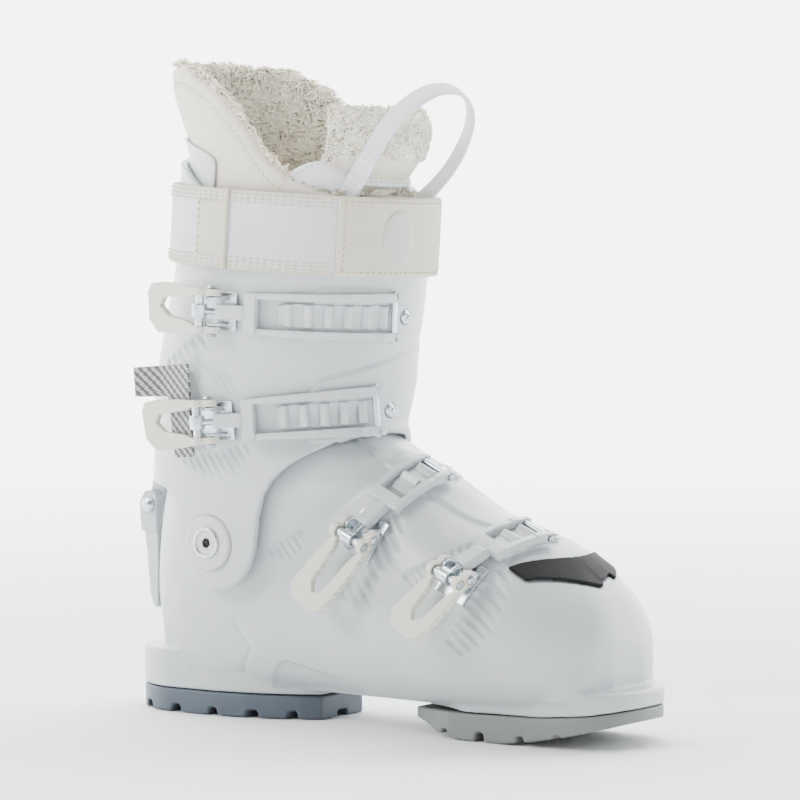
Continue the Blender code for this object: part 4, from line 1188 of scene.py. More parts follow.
def buckle_lever(n, band, length, skew):
    frame = band.frame(0.0, HUB)
    name = "lever_%d" % n
    tip, half = -length, 12.0
    outline = [(3.0, 10.2), (-7, 10.4), (-16, 11.5), (tip + 9, half), (tip + 2, half - 1),
               (tip, half - 5), (tip + 1.5, -half + 6), (tip + 7, -half), (-16, -11.5),
               (-7, -10.4), (3.0, -10.2)]
    def lean(points):
        return [(s, w + skew * min(s + 9, 0)) for s, w in points]
    body = plate(name, lean(outline), frame, -1.6, 2.0)
    window = [(8, 7.3), (-9, 7.3), (-13, 6.0), (tip + 10, 5.0), (tip + 8, 1.0),
              (tip + 13, -3.4), (-13, -5.6), (-9, -7.3), (8, -7.3)]
    cut(body, plate("window", lean(window), frame, -6, 6))
    for side in (-1, 1):
        start = frame @ Vector((0, side * 7.15, 0))
        join(body, rod("hub", start, frame @ Vector((0, side * 10.45, 0)), 3.9))
        boss = frame @ Vector((CRANK[0], side * 7.2, CRANK[1]))
        join(body, rod("boss", boss, frame @ Vector((CRANK[0], side * 10.5, CRANK[1])), 3.5))
    cut(body, rod("bore", frame @ Vector((0, -20, 0)), frame @ Vector((0, 20, 0)), STUB + 0.3))
    cut(body, rod("bore", frame @ Vector((CRANK[0], -20, CRANK[1])),
                  frame @ Vector((CRANK[0], 20, CRANK[1])), BARREL + 0.3))
    return finish_part(body, "cream")


def crank_frame(band, reach):
    """Frame on the barrel axis whose s axis points at the bale's near end."""
    origin = band.frame(0.0, HUB) @ Vector((CRANK[0], 0, CRANK[1]))
    target = band.at(reach, 0, 4.2)
    along = (target - origin).normalized()
    normal = along.cross(band.w).normalized()
    if normal.dot(band.place(0)[2]) < 0:
        normal = -normal
    mat = Matrix.Identity(4)
    for row in range(3):
        mat[row][0], mat[row][1], mat[row][2] = along[row], band.w[row], normal[row]
        mat[row][3] = origin[row]
    return mat


def buckle_barrel(n, frame):
    return finish_part(rod("barrel_%d" % n, frame @ Vector((0, -10.7, 0)),
                           frame @ Vector((0, 10.7, 0)), BARREL), "steel")


def buckle_rod(n, frame, length):
    """Eye round the barrel with a threaded shank."""
    body = rod("rod_%d" % n, frame @ Vector((0, -3.2, 0)), frame @ Vector((0, 3.2, 0)), 3.6, 16)
    join(body, rod("shank", frame @ Vector((2.5, 0, 0)), frame @ Vector((length, 0, 0)), 1.6, 12))
    cut(body, rod("bore", frame @ Vector((0, -10, 0)), frame @ Vector((0, 10, 0)), BARREL + 0.3))
    return finish_part(body, "steel")


def pin_height(tree, band, end, wide):
    """Height of the hook pin: clear of the skin at both of its ends."""
    ends = [skin(tree, band, end, w) for w in (-wide - 0.9, -6, 0, 6, wide + 0.9)]
    return max(3.9, max(ends) + 2.6)


def rail(name, tree, band, s0, s1, side, wide, steps=8):
    """Side bar of the frame, lifted where the skin swells."""
    rings = []
    steps *= 4
    for i in range(steps + 1):
        f = i / steps
        s = s0 + (s1 - s0) * f
        inner, outer = side * 6.9, side * (9.6 + (wide - 9.6) * f)
        low = max(1.6, skin(tree, band, s, inner) + 1.1, skin(tree, band, s, outer) + 1.1)
        rings.append([band.at(s, inner, low), band.at(s, outer, low),
                      band.at(s, outer, low + 3.8), band.at(s, inner, low + 3.8)])
    return loft(name, rings)


def buckle_bale(n, tree, band, frame, start, end, shank, wide):
    """Frame round the rack: socket for the rod, two rails and a nose for the hook pin."""
    low = 1.6
    height = pin_height(tree, band, end, wide)
    body = rail("bale_%d" % n, tree, band, start + 9, end - 6, 1, wide)
    join(body, rail("rail", tree, band, start + 9, end - 6, -1, wide))
    join(body, band.bar("bridge", start + 6.5, start + 12, -9.5, 9.5, low + 0.2, 6.4, 2))
    join(body, prism("socket", [(start, -2.8), (start + 14, -2.8), (start + 15.5, 0.5),
                                (start + 13, 2.8), (start, 2.8)], frame, -3.4, 3.4))
    for side in (-1, 1):
        w0, w1 = sorted((side * 7.0, side * wide))
        join(body, band.bar("ear", end - 7.5, end + 3.6, w0, w1, height - 2.3, height + 2.1, 3))
    cut(body, rod("bore", frame @ Vector((-5, 0, 0)), frame @ Vector((shank + 4.6, 0, 0)),
                  1.95, 16))
    pin = band.frame(end, height)
    cut(body, rod("eye", pin @ Vector((0, -20, 0)), pin @ Vector((0, 20, 0)), 1.85, 12))
    return finish_part(body, "frame")


def buckle_hook(n, tree, band, end, wide):
    """Steel cross pin that catches behind a tooth."""
    pin = band.frame(end, pin_height(tree, band, end, wide))
    return finish_part(turned("hook_%d" % n, pin @ Vector((0, -wide - 0.9, 0)),
                              pin.to_3x3() @ Vector((0, 1, 0)),
                              [(0, 1.2), (0.5, 1.5), (2 * wide + 1.3, 1.5),
                               (2 * wide + 1.8, 1.2)], 10), "steel")


def skin(tree, band, s, w):
    """Distance of the body's skin from the path, measured along the local normal."""
    point, _, normal = band.place(s)
    start = point + band.w * w + normal * 30
    hit = tree.ray_cast(start, -normal)[0]
    return 30 - (start - hit).length if hit else 0.0


def buckle_ladder(n, tree, band, start, hook, stop, pitch=9.0):
    """Toothed rack that follows the skin; the hook pin rests behind one tooth."""
    body = pad("ladder_%d" % n, tree, band, start, stop, 5.6, 1.9, 9, 1.2)
    tooth = hook - 2.6
    while tooth - 4.6 > start + 1:
        frame = band.frame(tooth)
        swell = max(skin(tree, band, tooth - 2.5, w) for w in (-5.2, 0, 5.2))
        lift = max(0.0, swell - 0.5)
        base = max(1.4, swell + 1.3)
        profile = [(0, base), (-1.6, 4.4 + lift), (-3.0, 4.8 + lift), (-5.0, 2.8 + lift),
                   (-5.4, base)]
        join(body, prism("tooth", profile, frame, -5.2, 5.2))
        tooth -= pitch
    place = band.frame(stop - 7.0)
    cut(body, rod("seat", place @ Vector((0, 0, 1.0)), place @ Vector((0, 0, 8)), 4.0, 14))
    cut(body, rod("bore", place @ Vector((0, 0, -6)), place @ Vector((0, 0, 8)), 1.7, 10))
    return finish_part(body, "frame")


def buckle_screw(n, band, stop):
    """Cross-head screw whose shank goes into the body behind the rack."""
    place = band.frame(stop - 7.0)
    body = turned("screw_%d" % n, place @ Vector((0, 0, -1.6)), place.to_3x3() @ Vector((0, 0, 1)),
                  [(0, 1.2), (2.9, 1.2), (2.9, 3.6), (4.0, 3.4), (4.8, 1.8)], 14)
    for a in (0, 1):
        outline = [(-2.0, -0.45), (2.0, -0.45), (2.0, 0.45), (-2.0, 0.45)]
        if a:
            outline = [(y, x) for x, y in outline]
        cut(body, plate("slot", outline, place @ Matrix.Rotation(0.4, 4, "Z"), 2.2, 6))
    return finish_part(body, "steel")


def buckle(n, tree, spec):
    """All eight pieces of one buckle; returns its hub and crank frames and its band."""
    band = Band(FORM["band_tree"], spec["centre"], spec["across"], spec["zero"], ARC)
    start, shank = spec["rod"]
    frame = crank_frame(band, start + 8.0)
    buckle_base(n, tree, band)
    buckle_lever(n, band, spec["lever"], spec["skew"])
    buckle_barrel(n, frame)
    buckle_rod(n, frame, shank)
    buckle_bale(n, tree, band, frame, start, spec["hook"], shank, spec["wide"])
    buckle_hook(n, tree, band, spec["hook"], spec["wide"])
    buckle_ladder(n, tree, band, spec["rack"], spec["hook"], spec["stop"])
    buckle_screw(n, band, spec["stop"])
    return {"hub": band.frame(0, HUB), "crank": frame, "band": band}


def entry_lever(band):
    """Patterned flat lever that sits under the second buckle, tab bent outwards behind."""
    frame = band.frame(0.0, HUB)
    blade = [(-12.5, -2.2), (-28, -2.2), (-34, 0.8), (-39.5, 4.0), (-40.3, 2.6), (-35, -1.2),
             (-29, -4.0), (-12.5, -4.0)]
    body = prism("entry_lever", blade, frame, -16, 28)
    cut(body, plate("trim", [(-60, -20), (-23, -20), (-25, 13.2), (-60, 15)], frame, -20, 20))
    return finish_part(body, "print")


# ------------------------------------------------------------------ soft goods
OVAL = 2.15                  # roundness of the strap and collar seen from above


def puff(obj, voxel, cap, pin_below, frames=20, pressure=4.0):
    """Blow up a padded piece a little with a cloth simulation; it is held below a height."""
    obj.data.transform(Matrix.Scale(0.001, 4))
    remesh = obj.modifiers.new("remesh", "REMESH")
    remesh.mode = "VOXEL"
    remesh.voxel_size = voxel * 0.001
    settle(obj)
    rest = [v.co.copy() for v in obj.data.vertices]
    held = obj.vertex_groups.new(name="held")
    for v in obj.data.vertices:
        free = ease((v.co.z * 1000 - pin_below) / 12.0)
        held.add([v.index], 1.0 - free, "REPLACE")
    cloth = obj.modifiers.new("cloth", "CLOTH")
    rules = cloth.settings
    rules.use_pressure = True
    rules.uniform_pressure_force = pressure
    rules.effector_weights.gravity = 0.0
    rules.vertex_group_mass = "held"
    rules.quality = 4
    cloth.point_cache.frame_end = frames
    scene = bpy.context.scene
    for f in range(1, frames + 1):
        scene.frame_set(f)
    settle(obj)
    scene.frame_set(1)
    for v, home in zip(obj.data.vertices, rest):
        move = v.co - home
        if move.length > cap * 0.001:
            v.co = home + move.normalized() * cap * 0.001
    obj.data.transform(Matrix.Scale(1000, 4))
    finer = obj.modifiers.new("finer", "SUBSURF")
    finer.levels = finer.render_levels = 1
    relax = obj.modifiers.new("relax", "SMOOTH")
    relax.iterations = 3
    return settle(obj)


def grain_of(obj, place):
    """Store a place in millimetres for each vertex, for weaves and grids."""
    layer = obj.data.attributes.new("grain", "FLOAT_VECTOR", "POINT")
    flat = []
    for v in obj.data.vertices:
        flat.extend(place(v.co))
    layer.data.foreach_set("vector", flat)
    return obj


def catmull(points, count):
    """Evenly spaced points of a smooth curve through the given ones."""
    points = [Vector(p) for p in points]
    fine = []
    for i in range(len(points) - 1):
        p0, p1 = points[max(i - 1, 0)], points[i]
        p2, p3 = points[i + 1], points[min(i + 2, len(points) - 1)]
        for k in range(24):
            t = k / 24
            fine.append(0.5 * ((2 * p1) + (p2 - p0) * t + (2 * p0 - 5 * p1 + 4 * p2 - p3) * t * t
                               + (3 * p1 - p0 - 3 * p2 + p3) * t ** 3))
    fine.append(points[-1])
    lengths = [0.0]
    for a, b in zip(fine, fine[1:]):
        lengths.append(lengths[-1] + (b - a).length)
    out, k = [], 0
    for i in range(count):
        s = lengths[-1] * i / (count - 1)
        while k < len(fine) - 2 and lengths[k + 1] < s:
            k += 1
        f = (s - lengths[k]) / max(lengths[k + 1] - lengths[k], 1e-9)
        out.append(fine[k].lerp(fine[k + 1], f))
    return out, lengths[-1]


def ribbon(name, points, outs, wide, thick, crown=0.25):
    """Flat band with rounded edges along points; outs are its outward directions."""
    count = len(points)
    rings = []
    for i, (p, out) in enumerate(zip(points, outs)):
        along = (points[min(i + 1, count - 1)] - points[max(i - 1, 0)]).normalized()
        out = (out - along * out.dot(along)).normalized()
        across = along.cross(out)
        ring = []
        for k in range(20):
            a = 2 * math.pi * k / 20
            c, s = math.cos(a), math.sin(a)
            u = math.copysign(abs(c) ** 0.35, c) * wide / 2
            w = math.copysign(abs(s) ** 0.8, s) * thick / 2 + crown * (1 - (2 * u / wide) ** 2)
            ring.append(p + across * u + out * w)
        rings.append(ring)
    return loft(name, rings)


def extra(obj, name, look, body, slot=None):
    obj.name = obj.data.name = name
    obj.data.materials.clear()
    obj.data.materials.append(MATS[look])
    EXTRAS.append((obj, body, slot))
    return obj


def merge(name, pieces):
    """One object from many small closed bodies."""
    verts, faces = [], []
    for piece_verts, piece_faces in pieces:
        base = len(verts)
        verts += piece_verts
        faces += [tuple(base + i for i in f) for f in piece_faces]
    mesh = bpy.data.meshes.new(name)
    mesh.from_pydata(verts, [], faces)
    mesh.update()
    obj = bpy.data.objects.new(name, mesh)
    bpy.context.scene.collection.objects.link(obj)
    return obj


def stitch(a, b, up, radius):
    """One thread lying from a to b: a thin bow that dips in at both ends."""
    along = (b - a).normalized()
    side = along.cross(up).normalized()
    verts, faces = [], []
    rows, sides = 5, 6
    for i in range(rows):
        f = i / (rows - 1)
        lift = math.sin(math.pi * f) * radius * 0.9 - radius * 0.3
        r = radius * (0.55 + 0.45 * math.sin(math.pi * f))
        centre = a.lerp(b, f) + up * lift
        for k in range(sides):
            t = 2 * math.pi * k / sides
            verts.append(tuple(centre + (side * math.cos(t) + up * math.sin(t)) * r))
    for i in range(rows - 1):
        for k in range(sides):
            j = (k + 1) % sides
            faces.append((i * sides + k, i * sides + j, (i + 1) * sides + j, (i + 1) * sides + k))
    faces.append(tuple(range(sides - 1, -1, -1)))
    faces.append(tuple((rows - 1) * sides + k for k in range(sides)))
    return verts, faces


def seam(places, length, gap, radius):
    """Stitches along a line of (point, outward) places."""
    out, walk = [], 0.0
    marks = []
    for (p, n), (q, _) in zip(places, places[1:]):
        step = (q - p).length
        while walk < step:
            marks.append((p.lerp(q, walk / step), n))
            walk += (length, gap)[len(marks) % 2 == 0]
        walk -= step
    for i in range(0, len(marks) - 1, 2):
        (a, n), (b, _) = marks[i], marks[i + 1]
        if (b - a).length > length * 0.4:
            out.append(stitch(a, b, n, radius))
    return out


def strap_at(degrees, z, out):
    """Place and outward direction on the strap's oval at an angle from the front."""
    back, front, half = smooth(CUFF, z)
    middle, depth = (back + front) / 2, (front - back) / 2

    def point(d):
        a = math.radians(d)
        c, s = math.cos(a), math.sin(a)
        k = (abs(c / (depth + out)) ** OVAL + abs(s / (half + out)) ** OVAL) ** (-1 / OVAL)
        return Vector((middle + c * k, s * k, z))
    p = point(degrees)
    along = (point(degrees + 0.5) - point(degrees - 0.5)).normalized()
    return p, along.cross(Vector((0, 0, 1))).normalized()


def strap_level(x, share):
    """Height of a line along the strap, from its lower edge (0) to its upper edge (1)."""
    return 216 + 9 - 20 * (x + 200) / 300 + STRAP_HEIGHT * share


def strap_line(a0, a1, share, out, step=1.0):
    places = []
    count = max(int(abs(a1 - a0) / step), 2)
    for i in range(count + 1):
        a = a0 + (a1 - a0) * i / count
        z = 230.0
        for _ in range(3):
            p, n = strap_at(a, z, out)
            z = strap_level(p.x, share)
        p, n = strap_at(a, z, out)
        places.append((p, n))
    return places


def panel(name, a0, a1, s0, s1, out, thick, steps=90, rows=26):
    """Rounded panel on the strap between two angles and two shares of its height."""
    verts, faces = [], []
    for layer in (0, 1):
        for r in range(rows + 1):
            for c in range(steps + 1):
                u, v = c / steps * 2 - 1, r / rows * 2 - 1
                rim = max(abs(u) ** 24, abs(v) ** 10)
                angle = (a0 + a1) / 2 + u * (a1 - a0) / 2
                share = (s0 + s1) / 2 + v * (s1 - s0) / 2
                z = 232.0
                for _ in range(2):
                    z = strap_level(strap_at(angle, z, out)[0].x, share)
                p = strap_at(angle, z, out + (thick * (1 - 0.45 * rim) if layer else 0.0))[0]
                verts.append(p)
    wide = steps + 1
    block = (rows + 1) * wide
    for r in range(rows):
        for c in range(steps):
            i = r * wide + c
            faces.append((i, i + wide, i + wide + 1, i + 1))
            faces.append((block + i, block + i + 1, block + i + wide + 1, block + i + wide))
    border = ([c for c in range(steps)] + [r * wide + steps for r in range(rows)]
              + [rows * wide + c for c in range(steps, 0, -1)] + [r * wide for r in range(rows, 0, -1)])
    for i, j in zip(border, border[1:] + border[:1]):
        faces.append((i, j, block + j, block + i))
    obj = make(name, verts, faces)
    outward(obj)
    return obj


def oval_panel(name, angle, share, wide, high, out, thick):
    """Plain oval badge that follows the strap."""
    verts, faces = [], []
    rings, sides = 8, 72
    for layer in (0, 1):
        for r in range(rings + 1):
            for k in range(sides):
                t = 2 * math.pi * k / sides
                f = (r + 0.4) / (rings + 0.4)
                a = angle + math.degrees(f * wide / 2 * math.cos(t) / 66.0)
                z = 230.0
                for _ in range(2):
                    z = strap_level(strap_at(a, z, out)[0].x, share) + f * high / 2 * math.sin(t)
                p = strap_at(a, z, out + (thick * (1 - 0.5 * f ** 12) if layer else 0.0))[0]
                verts.append(p)
    block = (rings + 1) * sides
    for layer in (0, 1):
        middle = [layer * block + k for k in range(sides)]
        faces.append(tuple(middle if layer else reversed(middle)))
        for r in range(1, rings + 1):
            for k in range(sides):
                j = (k + 1) % sides
                a, b = layer * block + (r - 1) * sides, layer * block + r * sides
                faces.append((a + j, a + k, b + k, b + j) if layer
                             else (a + k, a + j, b + j, b + k))
    for k in range(sides):
        j = (k + 1) % sides
        a, b = rings * sides, block + rings * sides
        faces.append((a + k, a + j, b + j, b + k))
    obj = make(name, verts, faces)
    outward(obj)
    return obj


def strap_goods():
    """Webbing strap with its triple seams, felt panels, keeper and plain badge."""
    strap = ring_band("power_strap", 0.5, 0.5 + STRAP_THICK, 216, 216 + STRAP_HEIGHT)
    mould(strap, 0.8, 3, 0.5)
    finish_part(strap, "strap")
    grain_of(strap, lambda p: (math.atan2(p.y, p.x + 56) * 58, p.z, 0.0))
    face = 0.5 + STRAP_THICK
    rows = []
    for share in (0.035, 0.085, 0.135, 0.865, 0.915, 0.965):
        rows += seam(strap_line(27, 319.2, share, face + 0.1), 2.7, 1.0, 0.5)
    extra(merge("seams", rows), "look_strap_seams", "thread", "cuff", "white_webbing")
    edging = []
    for share in (0.0, 1.0):
        line = strap_line(-180, 180, share, face - 1.3, 2.0)
        count = len(line)
        rings = []
        for i, (p, n) in enumerate(line[:-1]):
            q = line[(i + 1) % (count - 1)][0]
            along = (q - p).normalized()
            up = along.cross(n).normalized()
            rings.append([p + (n * math.cos(t) * 1.5 + up * math.sin(t) * 0.75)
                          for t in (2 * math.pi * k / 10 for k in range(10))])
        verts = [tuple(v) for ring in rings for v in ring]
        total = len(rings)
        faces = [(i * 10 + k, i * 10 + (k + 1) % 10, ((i + 1) % total) * 10 + (k + 1) % 10,
                  ((i + 1) % total) * 10 + k) for i in range(total) for k in range(10)]
        edging.append((verts, faces))
    piece = merge("edging", edging)
    outward(piece)
    extra(piece, "look_strap_binding", "felt", "cuff", "beige_felt")
    front = panel("strap_patch", -40, 24, -0.015, 1.015, face + 0.15, 1.7)
    finish_part(front, "felt")
    back = panel("strap_keeper", -110, -93, 0.14, 0.86, face + 0.1, 1.2, steps=30)
    finish_part(back, "felt")
    bar = panel("bar", -93.4, -90.6, -0.03, 1.03, face + 0.1, 2.0, steps=8)
    extra(bar, "look_strap_bar", "felt", "cuff", "beige_felt")
    border = []
    for share in (0.045, 0.955):
        border += seam(strap_line(-38, 22, share, face + 1.75), 1.9, 1.3, 0.32)
    for angle in (-37.3, 20.5):
        line = []
        for k in range(31):
            line.append(strap_line(angle, angle + 0.01, 0.06 + 0.88 * k / 30, face + 1.8)[0])
        border += seam(line, 1.9, 1.3, 0.32)
    line = [strap_line(-108, -107.9, 0.16 + 0.68 * k / 20, face + 1.25)[0] for k in range(21)]
    border += seam(line, 1.9, 1.3, 0.32)
    extra(merge("border", border), "look_patch_seams", "dark_thread", "cuff", "beige_felt")
    badge = oval_panel("badge", -12, 0.5, 20, 26, face + 1.75, 0.7)
    extra(badge, "look_strap_badge", "badge", "cuff", "beige_felt")


RIM = [(-200, 312), (-112, 313), (-92, 311), (-76, 303), (-58, 288), (-42, 268), (-28, 256),
       (-12, 250), (60, 250)]


def collar_middle(z):
    back, front, _ = smooth(COLLAR, z)
    return (back + front) / 2


def liner_goods():
    """Padded collar and tongue, both lined with wool."""
    DETAIL["ring"] = 96
    body = collar_solid("liner_shaft", 0.8)
    cut(body, collar_solid("inner", COLLAR_WALL - 0.8))
    keep(body, ray_wedge("above", 39, 11, True))
    rim = [(x, z - 1.2) for x, z in RIM] + [(60, 400), (-200, 400)]
    cut(body, prism_y("rim", rim, -120, 120))
    puff(body, 2.6, 2.2, 256)
    finish_part(body, "liner")
    DETAIL["ring"] = 144

    def outside(p, n):
        radial = Vector((p.x - collar_middle(p.z), p.y * 1.1, 0))
        return n.dot(radial.normalized()) > 0.15

    def welt(p, n):
        edge = across_line(RIM, p.x)
        d = abs(edge - p.z - 9.0)
        return -0.9 * (1 - (d / 1.3) ** 2) if d < 1.3 and outside(p, n) and p.z > 240 else 0.0
    relieve(body, welt)
    body.data.materials.append(MATS["fur"])
    for poly in body.data.polygons:
        c = poly.center
        if not outside(c, poly.normal):
            poly.material_index = 1
    line = []
    for k in range(121):
        t = k / 120
        x = -118 + 112 * t
        z = across_line(RIM, x) - 9.2
        middle = collar_middle(z)
        back, front, half = smooth(COLLAR, z)
        depth = (front - back) / 2
        u = min(max((x - middle) / depth, -1), 1)
        y = -half * (1 - abs(u) ** OVAL) ** (1 / OVAL)
        n = Vector((u / depth * 40, y / half / half * 40, 0)).normalized()
        line.append((Vector((x, y, z)) + n * 0.2, n))
    hits = []
    tree = tree_of(body)
    for p, n in line:
        hit = tree.ray_cast(p + n * 12, -n)[0]
        if hit and (hit - p).length < 8:
            hits.append((hit, n))
    extra(merge("seam", seam(hits, 2.2, 1.2, 0.3)), "look_collar_seam", "dark_thread", "cuff",
          "beige_liner")
    tongue_goods()
    wool_tufts(body, "look_collar_wool", 21000, 6.2, lambda p, n: p.z > 212
               and not outside(p, n) and p.z > across_line(RIM, p.x) - 92, 17)
    wool_tufts(PIECES["liner_tongue"], "look_tongue_wool", 11000, 5.0,
               lambda p, n: p.z > 262 and (p.z > 269 or n.x < 0.2), 31)


def tongue_goods():
    outer = 41
    rings = []
    for z in stations(128, 289, 74):
        cx, depth, half = tongue_section(z)
        thick = 6.5 + 5.5 * min(max((z - 238) / 30.0, 0), 1)
        tip = max(z - 281, 0) / 8.0
        thick *= math.sqrt(max(1 - 0.82 * tip ** 2, 0.05))
        depth, half = depth - 0.6 - 2.6 * tip ** 2, half - 0.6 - 2.0 * tip ** 2
        ring = []
        for i in range(outer):
            a = math.radians(-56 + 112 * i / (outer - 1))
            ring.append(Vector((cx + depth * math.cos(a), half * math.sin(a), z)))
        for i in range(outer - 1, -1, -1):
            a = math.radians(-56 + 112 * i / (outer - 1))
            ring.append(Vector((cx + (depth - thick + 1) * math.cos(a),
                                (half - thick + 1) * math.sin(a), z)))
        rings.append(ring)
    tongue = loft("liner_tongue", rings)
    puff(tongue, 2.4, 2.2, 258)
    finish_part(tongue, "liner")
    tongue.data.materials.append(MATS["fur"])
    for poly in tongue.data.polygons:
        c = poly.center
        if c.z > 266 or (poly.normal.x < -0.2 and c.z > 200):
            poly.material_index = 1
    points, outs = [], []
    for k in range(61):
        a = math.radians(-50 + 100 * k / 60)
        z = 254.5 + 3.0 * abs(k / 30 - 1) ** 2
        cx, depth, half = tongue_section(z)
        points.append(Vector((cx + (depth + 0.2) * math.cos(a), (half + 0.2) * math.sin(a), z)))
        outs.append(Vector((math.cos(a), math.sin(a), 0.1)))
    extra(ribbon("edge", points, outs, 3.4, 1.6), "look_tongue_binding", "binding", "cuff",
          "beige_liner")
    line = [(p + o.normalized() * 1.15 + Vector((0, 0, 0.2)), o.normalized())
            for p, o in zip(points, outs)]
    extra(merge("dots", seam(line, 1.3, 1.5, 0.25)), "look_binding_seam", "dark_thread", "cuff",
          "beige_liner")
    flap_goods()


def flap_goods():
    """White padded eyelet flaps either side of the tongue and the low spoiler behind."""
    for side in (-1, 1):
        pts, outs = [], []
        for k in range(41):
            t = k / 40
            a = math.radians(side * (66 - 40 * t))
            z = 250.0 + 8.5 * math.sin(math.pi * min(t * 1.15, 1.0)) ** 0.8
            cx, depth, half = -54.0, 51.5, 44.5
            pts.append(Vector((cx + depth * math.cos(a), half * math.sin(a), z)))
            outs.append(Vector((math.cos(a), math.sin(a), 0.25)))
        flap = ribbon("flap", pts, outs, 13.0, 3.0, 0.8)
        extra(flap, "look_eyelet_flap_%s" % ("a" if side < 0 else "b"), "binding", "cuff",
              "beige_liner")
        line = []
        for p, o in zip(pts, outs):
            o = o.normalized()
            line.append((p + Vector((0, 0, 4.6)) + o * 1.75, o))
        extra(merge("dots", seam(line, 1.2, 1.6, 0.25)),
              "look_flap_seam_%s" % ("a" if side < 0 else "b"), "dark_thread", "cuff",
              "beige_liner")
    rows = []
    for z in stations(250, 277, 28):
        back, front, half = smooth(COLLAR, z)
        middle, depth = (back + front) / 2, (front - back) / 2
        top = ease((z - 262) / 15.0)
        spread = 70 * (1 - 0.45 * top ** 2)
        ring = []
        for out, order in ((0.9, 1), (-0.3, -1)):
            for k in range(41):
                a = math.radians(180 + order * (-spread + 2 * spread * k / 40))
                c, s = math.cos(a), math.sin(a)
                f = (abs(c / (depth + out)) ** OVAL + abs(s / (half + out)) ** OVAL) ** (-1 / OVAL)
                ring.append(Vector((middle + c * f, s * f, z)))
        rows.append(ring)
    spoiler = loft("spoiler", rows)
    extra(shade_smooth(mould(spoiler, 0.6, 3, 0.5)), "look_spoiler", "cuff", "cuff", "white_cuff")


def wool_tufts(skin_obj, name, count, length, wanted, seed):
    """Short curled fibres that gather in locks, rooted on a surface."""
    rng = random.Random(seed)
    mesh = skin_obj.data
    mesh.calc_loop_triangles()
    tris, areas, total = [], [], 0.0
    for tri in mesh.loop_triangles:
        c = (mesh.vertices[tri.vertices[0]].co + mesh.vertices[tri.vertices[1]].co
             + mesh.vertices[tri.vertices[2]].co) / 3
        if wanted(c, tri.normal):
            total += tri.area
            tris.append(tri)
            areas.append(total)
    pieces = []
    locks = [Vector((rng.gauss(0, 1), rng.gauss(0, 1), rng.gauss(0, 1))) for _ in range(64)]
    for _ in range(count):
        pick_at = rng.random() * total
        lo, hi = 0, len(areas) - 1
        while lo < hi:
            mid = (lo + hi) // 2
            if areas[mid] < pick_at:
                lo = mid + 1
            else:
                hi = mid
        tri = tris[lo]
        u, v = rng.random(), rng.random()
        if u + v > 1:
            u, v = 1 - u, 1 - v
        a, b, c = (mesh.vertices[i].co for i in tri.vertices)
        root = a + (b - a) * u + (c - a) * v
        n = tri.normal
        cell = (int(root.x // 5.5) * 7 + int(root.y // 5.5) * 13 + int(root.z // 5.5) * 29) % 64
        lean = locks[cell]
        sway = Vector((math.sin(root.z * 0.35 + root.y * 0.2), math.sin(root.x * 0.4 + 1.3),
                       math.sin(root.y * 0.3 + root.x * 0.25))) * 0.5
        jitter = Vector((rng.gauss(0, 1), rng.gauss(0, 1), rng.gauss(0, 1))) * 0.35
        drift = lean * 0.55 + sway + jitter + Vector((0, 0, -0.25))
        drift -= n * drift.dot(n)
        span_len = length * (0.65 + 0.6 * rng.random())
        pieces.append(fibre(root - n * 0.3, n, drift, span_len, rng))
    obj = merge(name, pieces)
    obj.data.shade_smooth()
    extra(obj, name, "fur", "cuff", "cream_fur")
    return obj


def fibre(root, n, drift, length, rng):
    """One tapering curled tuft with a triangular section."""
    verts, faces = [], []
    rows = 5
    p = root.copy()
    direction = (n * 1.0 + drift * 0.35).normalized()
    curl = drift.normalized() if drift.length > 1e-6 else n.orthogonal()
    width = 0.62 + 0.34 * rng.random()
    for i in range(rows):
        f = i / (rows - 1)
        side = direction.orthogonal().normalized()
        other = direction.cross(side)
        r = width * (1 - f) ** 0.7 + 0.05
        for k in range(3):
            t = 2 * math.pi * k / 3
            verts.append(tuple(p + (side * math.cos(t) + other * math.sin(t)) * r))
        direction = (direction + curl * 0.55 - n * 0.16 * i).normalized()
        p = p + direction * (length / (rows - 1))
    for i in range(rows - 1):
        for k in range(3):
            j = (k + 1) % 3
            faces.append((i * 3 + k, i * 3 + j, (i + 1) * 3 + j, (i + 1) * 3 + k))
    faces.append((2, 1, 0))
    faces.append(((rows - 1) * 3, (rows - 1) * 3 + 1, (rows - 1) * 3 + 2))
    return verts, faces


def loop_goods():
    path = [(-11, -28, 246), (-5, -27.5, 254), (2, -26.5, 265), (9.5, -22.5, 279), (16.5, -14, 290.5),
            (23, -4, 297.5), (28, 6, 298.5), (30, 14, 294.5), (29.5, 19, 286), (24.5, 21, 274),
            (16.5, 21.5, 262.5), (8, 21, 253.5),
            (1.5, 19, 247), (-3, 17, 240)]
    points, total = catmull(path, 130)
    middle = Vector((10, 2, 272))
    outs = [(p - middle) for p in points]
    loop = ribbon("pull_loop", points, outs, 11.0, 1.7, 0.1)
    finish_part(loop, "tape")
    def local(p):
        best = min(range(0, len(points), 2), key=lambda i: (points[i] - p).length_squared)
        return (total * best / (len(points) - 1), (p - points[best]).length, 0.0)
    grain_of(loop, local)


# ------------------------------------------------------------------ hard pieces, finished
MOULDS = {
    "lever": (0.40, 3, 0.35), "base": (0.24, 1, 0.30), "bale": (0.34, 2, 0.25),
    "ladder": (0.30, 1, 0.30), "rod": (0.25, 1, 0.4), "hook": (0.25, 2, 0.5),
    "barrel": (0.2, 1, 0.4), "screw": (0.16, 2, 0.4), "entry_lever": (0.35, 2, 0.3),
    "rear_strut": (0.5, 3, 0.4), "strut_pin": (0.25, 2, 0.5), "pivot": (0.28, 2, 0.4),
    "heel_sole": (0.7, 2, 0.5), "toe_sole": (0.7, 2, 0.5), "toe_seal": (0.45, 3, 0.4),
    "heel_screw": (0.3, 2, 0.5), "toe_screw": (0.3, 2, 0.5),
}


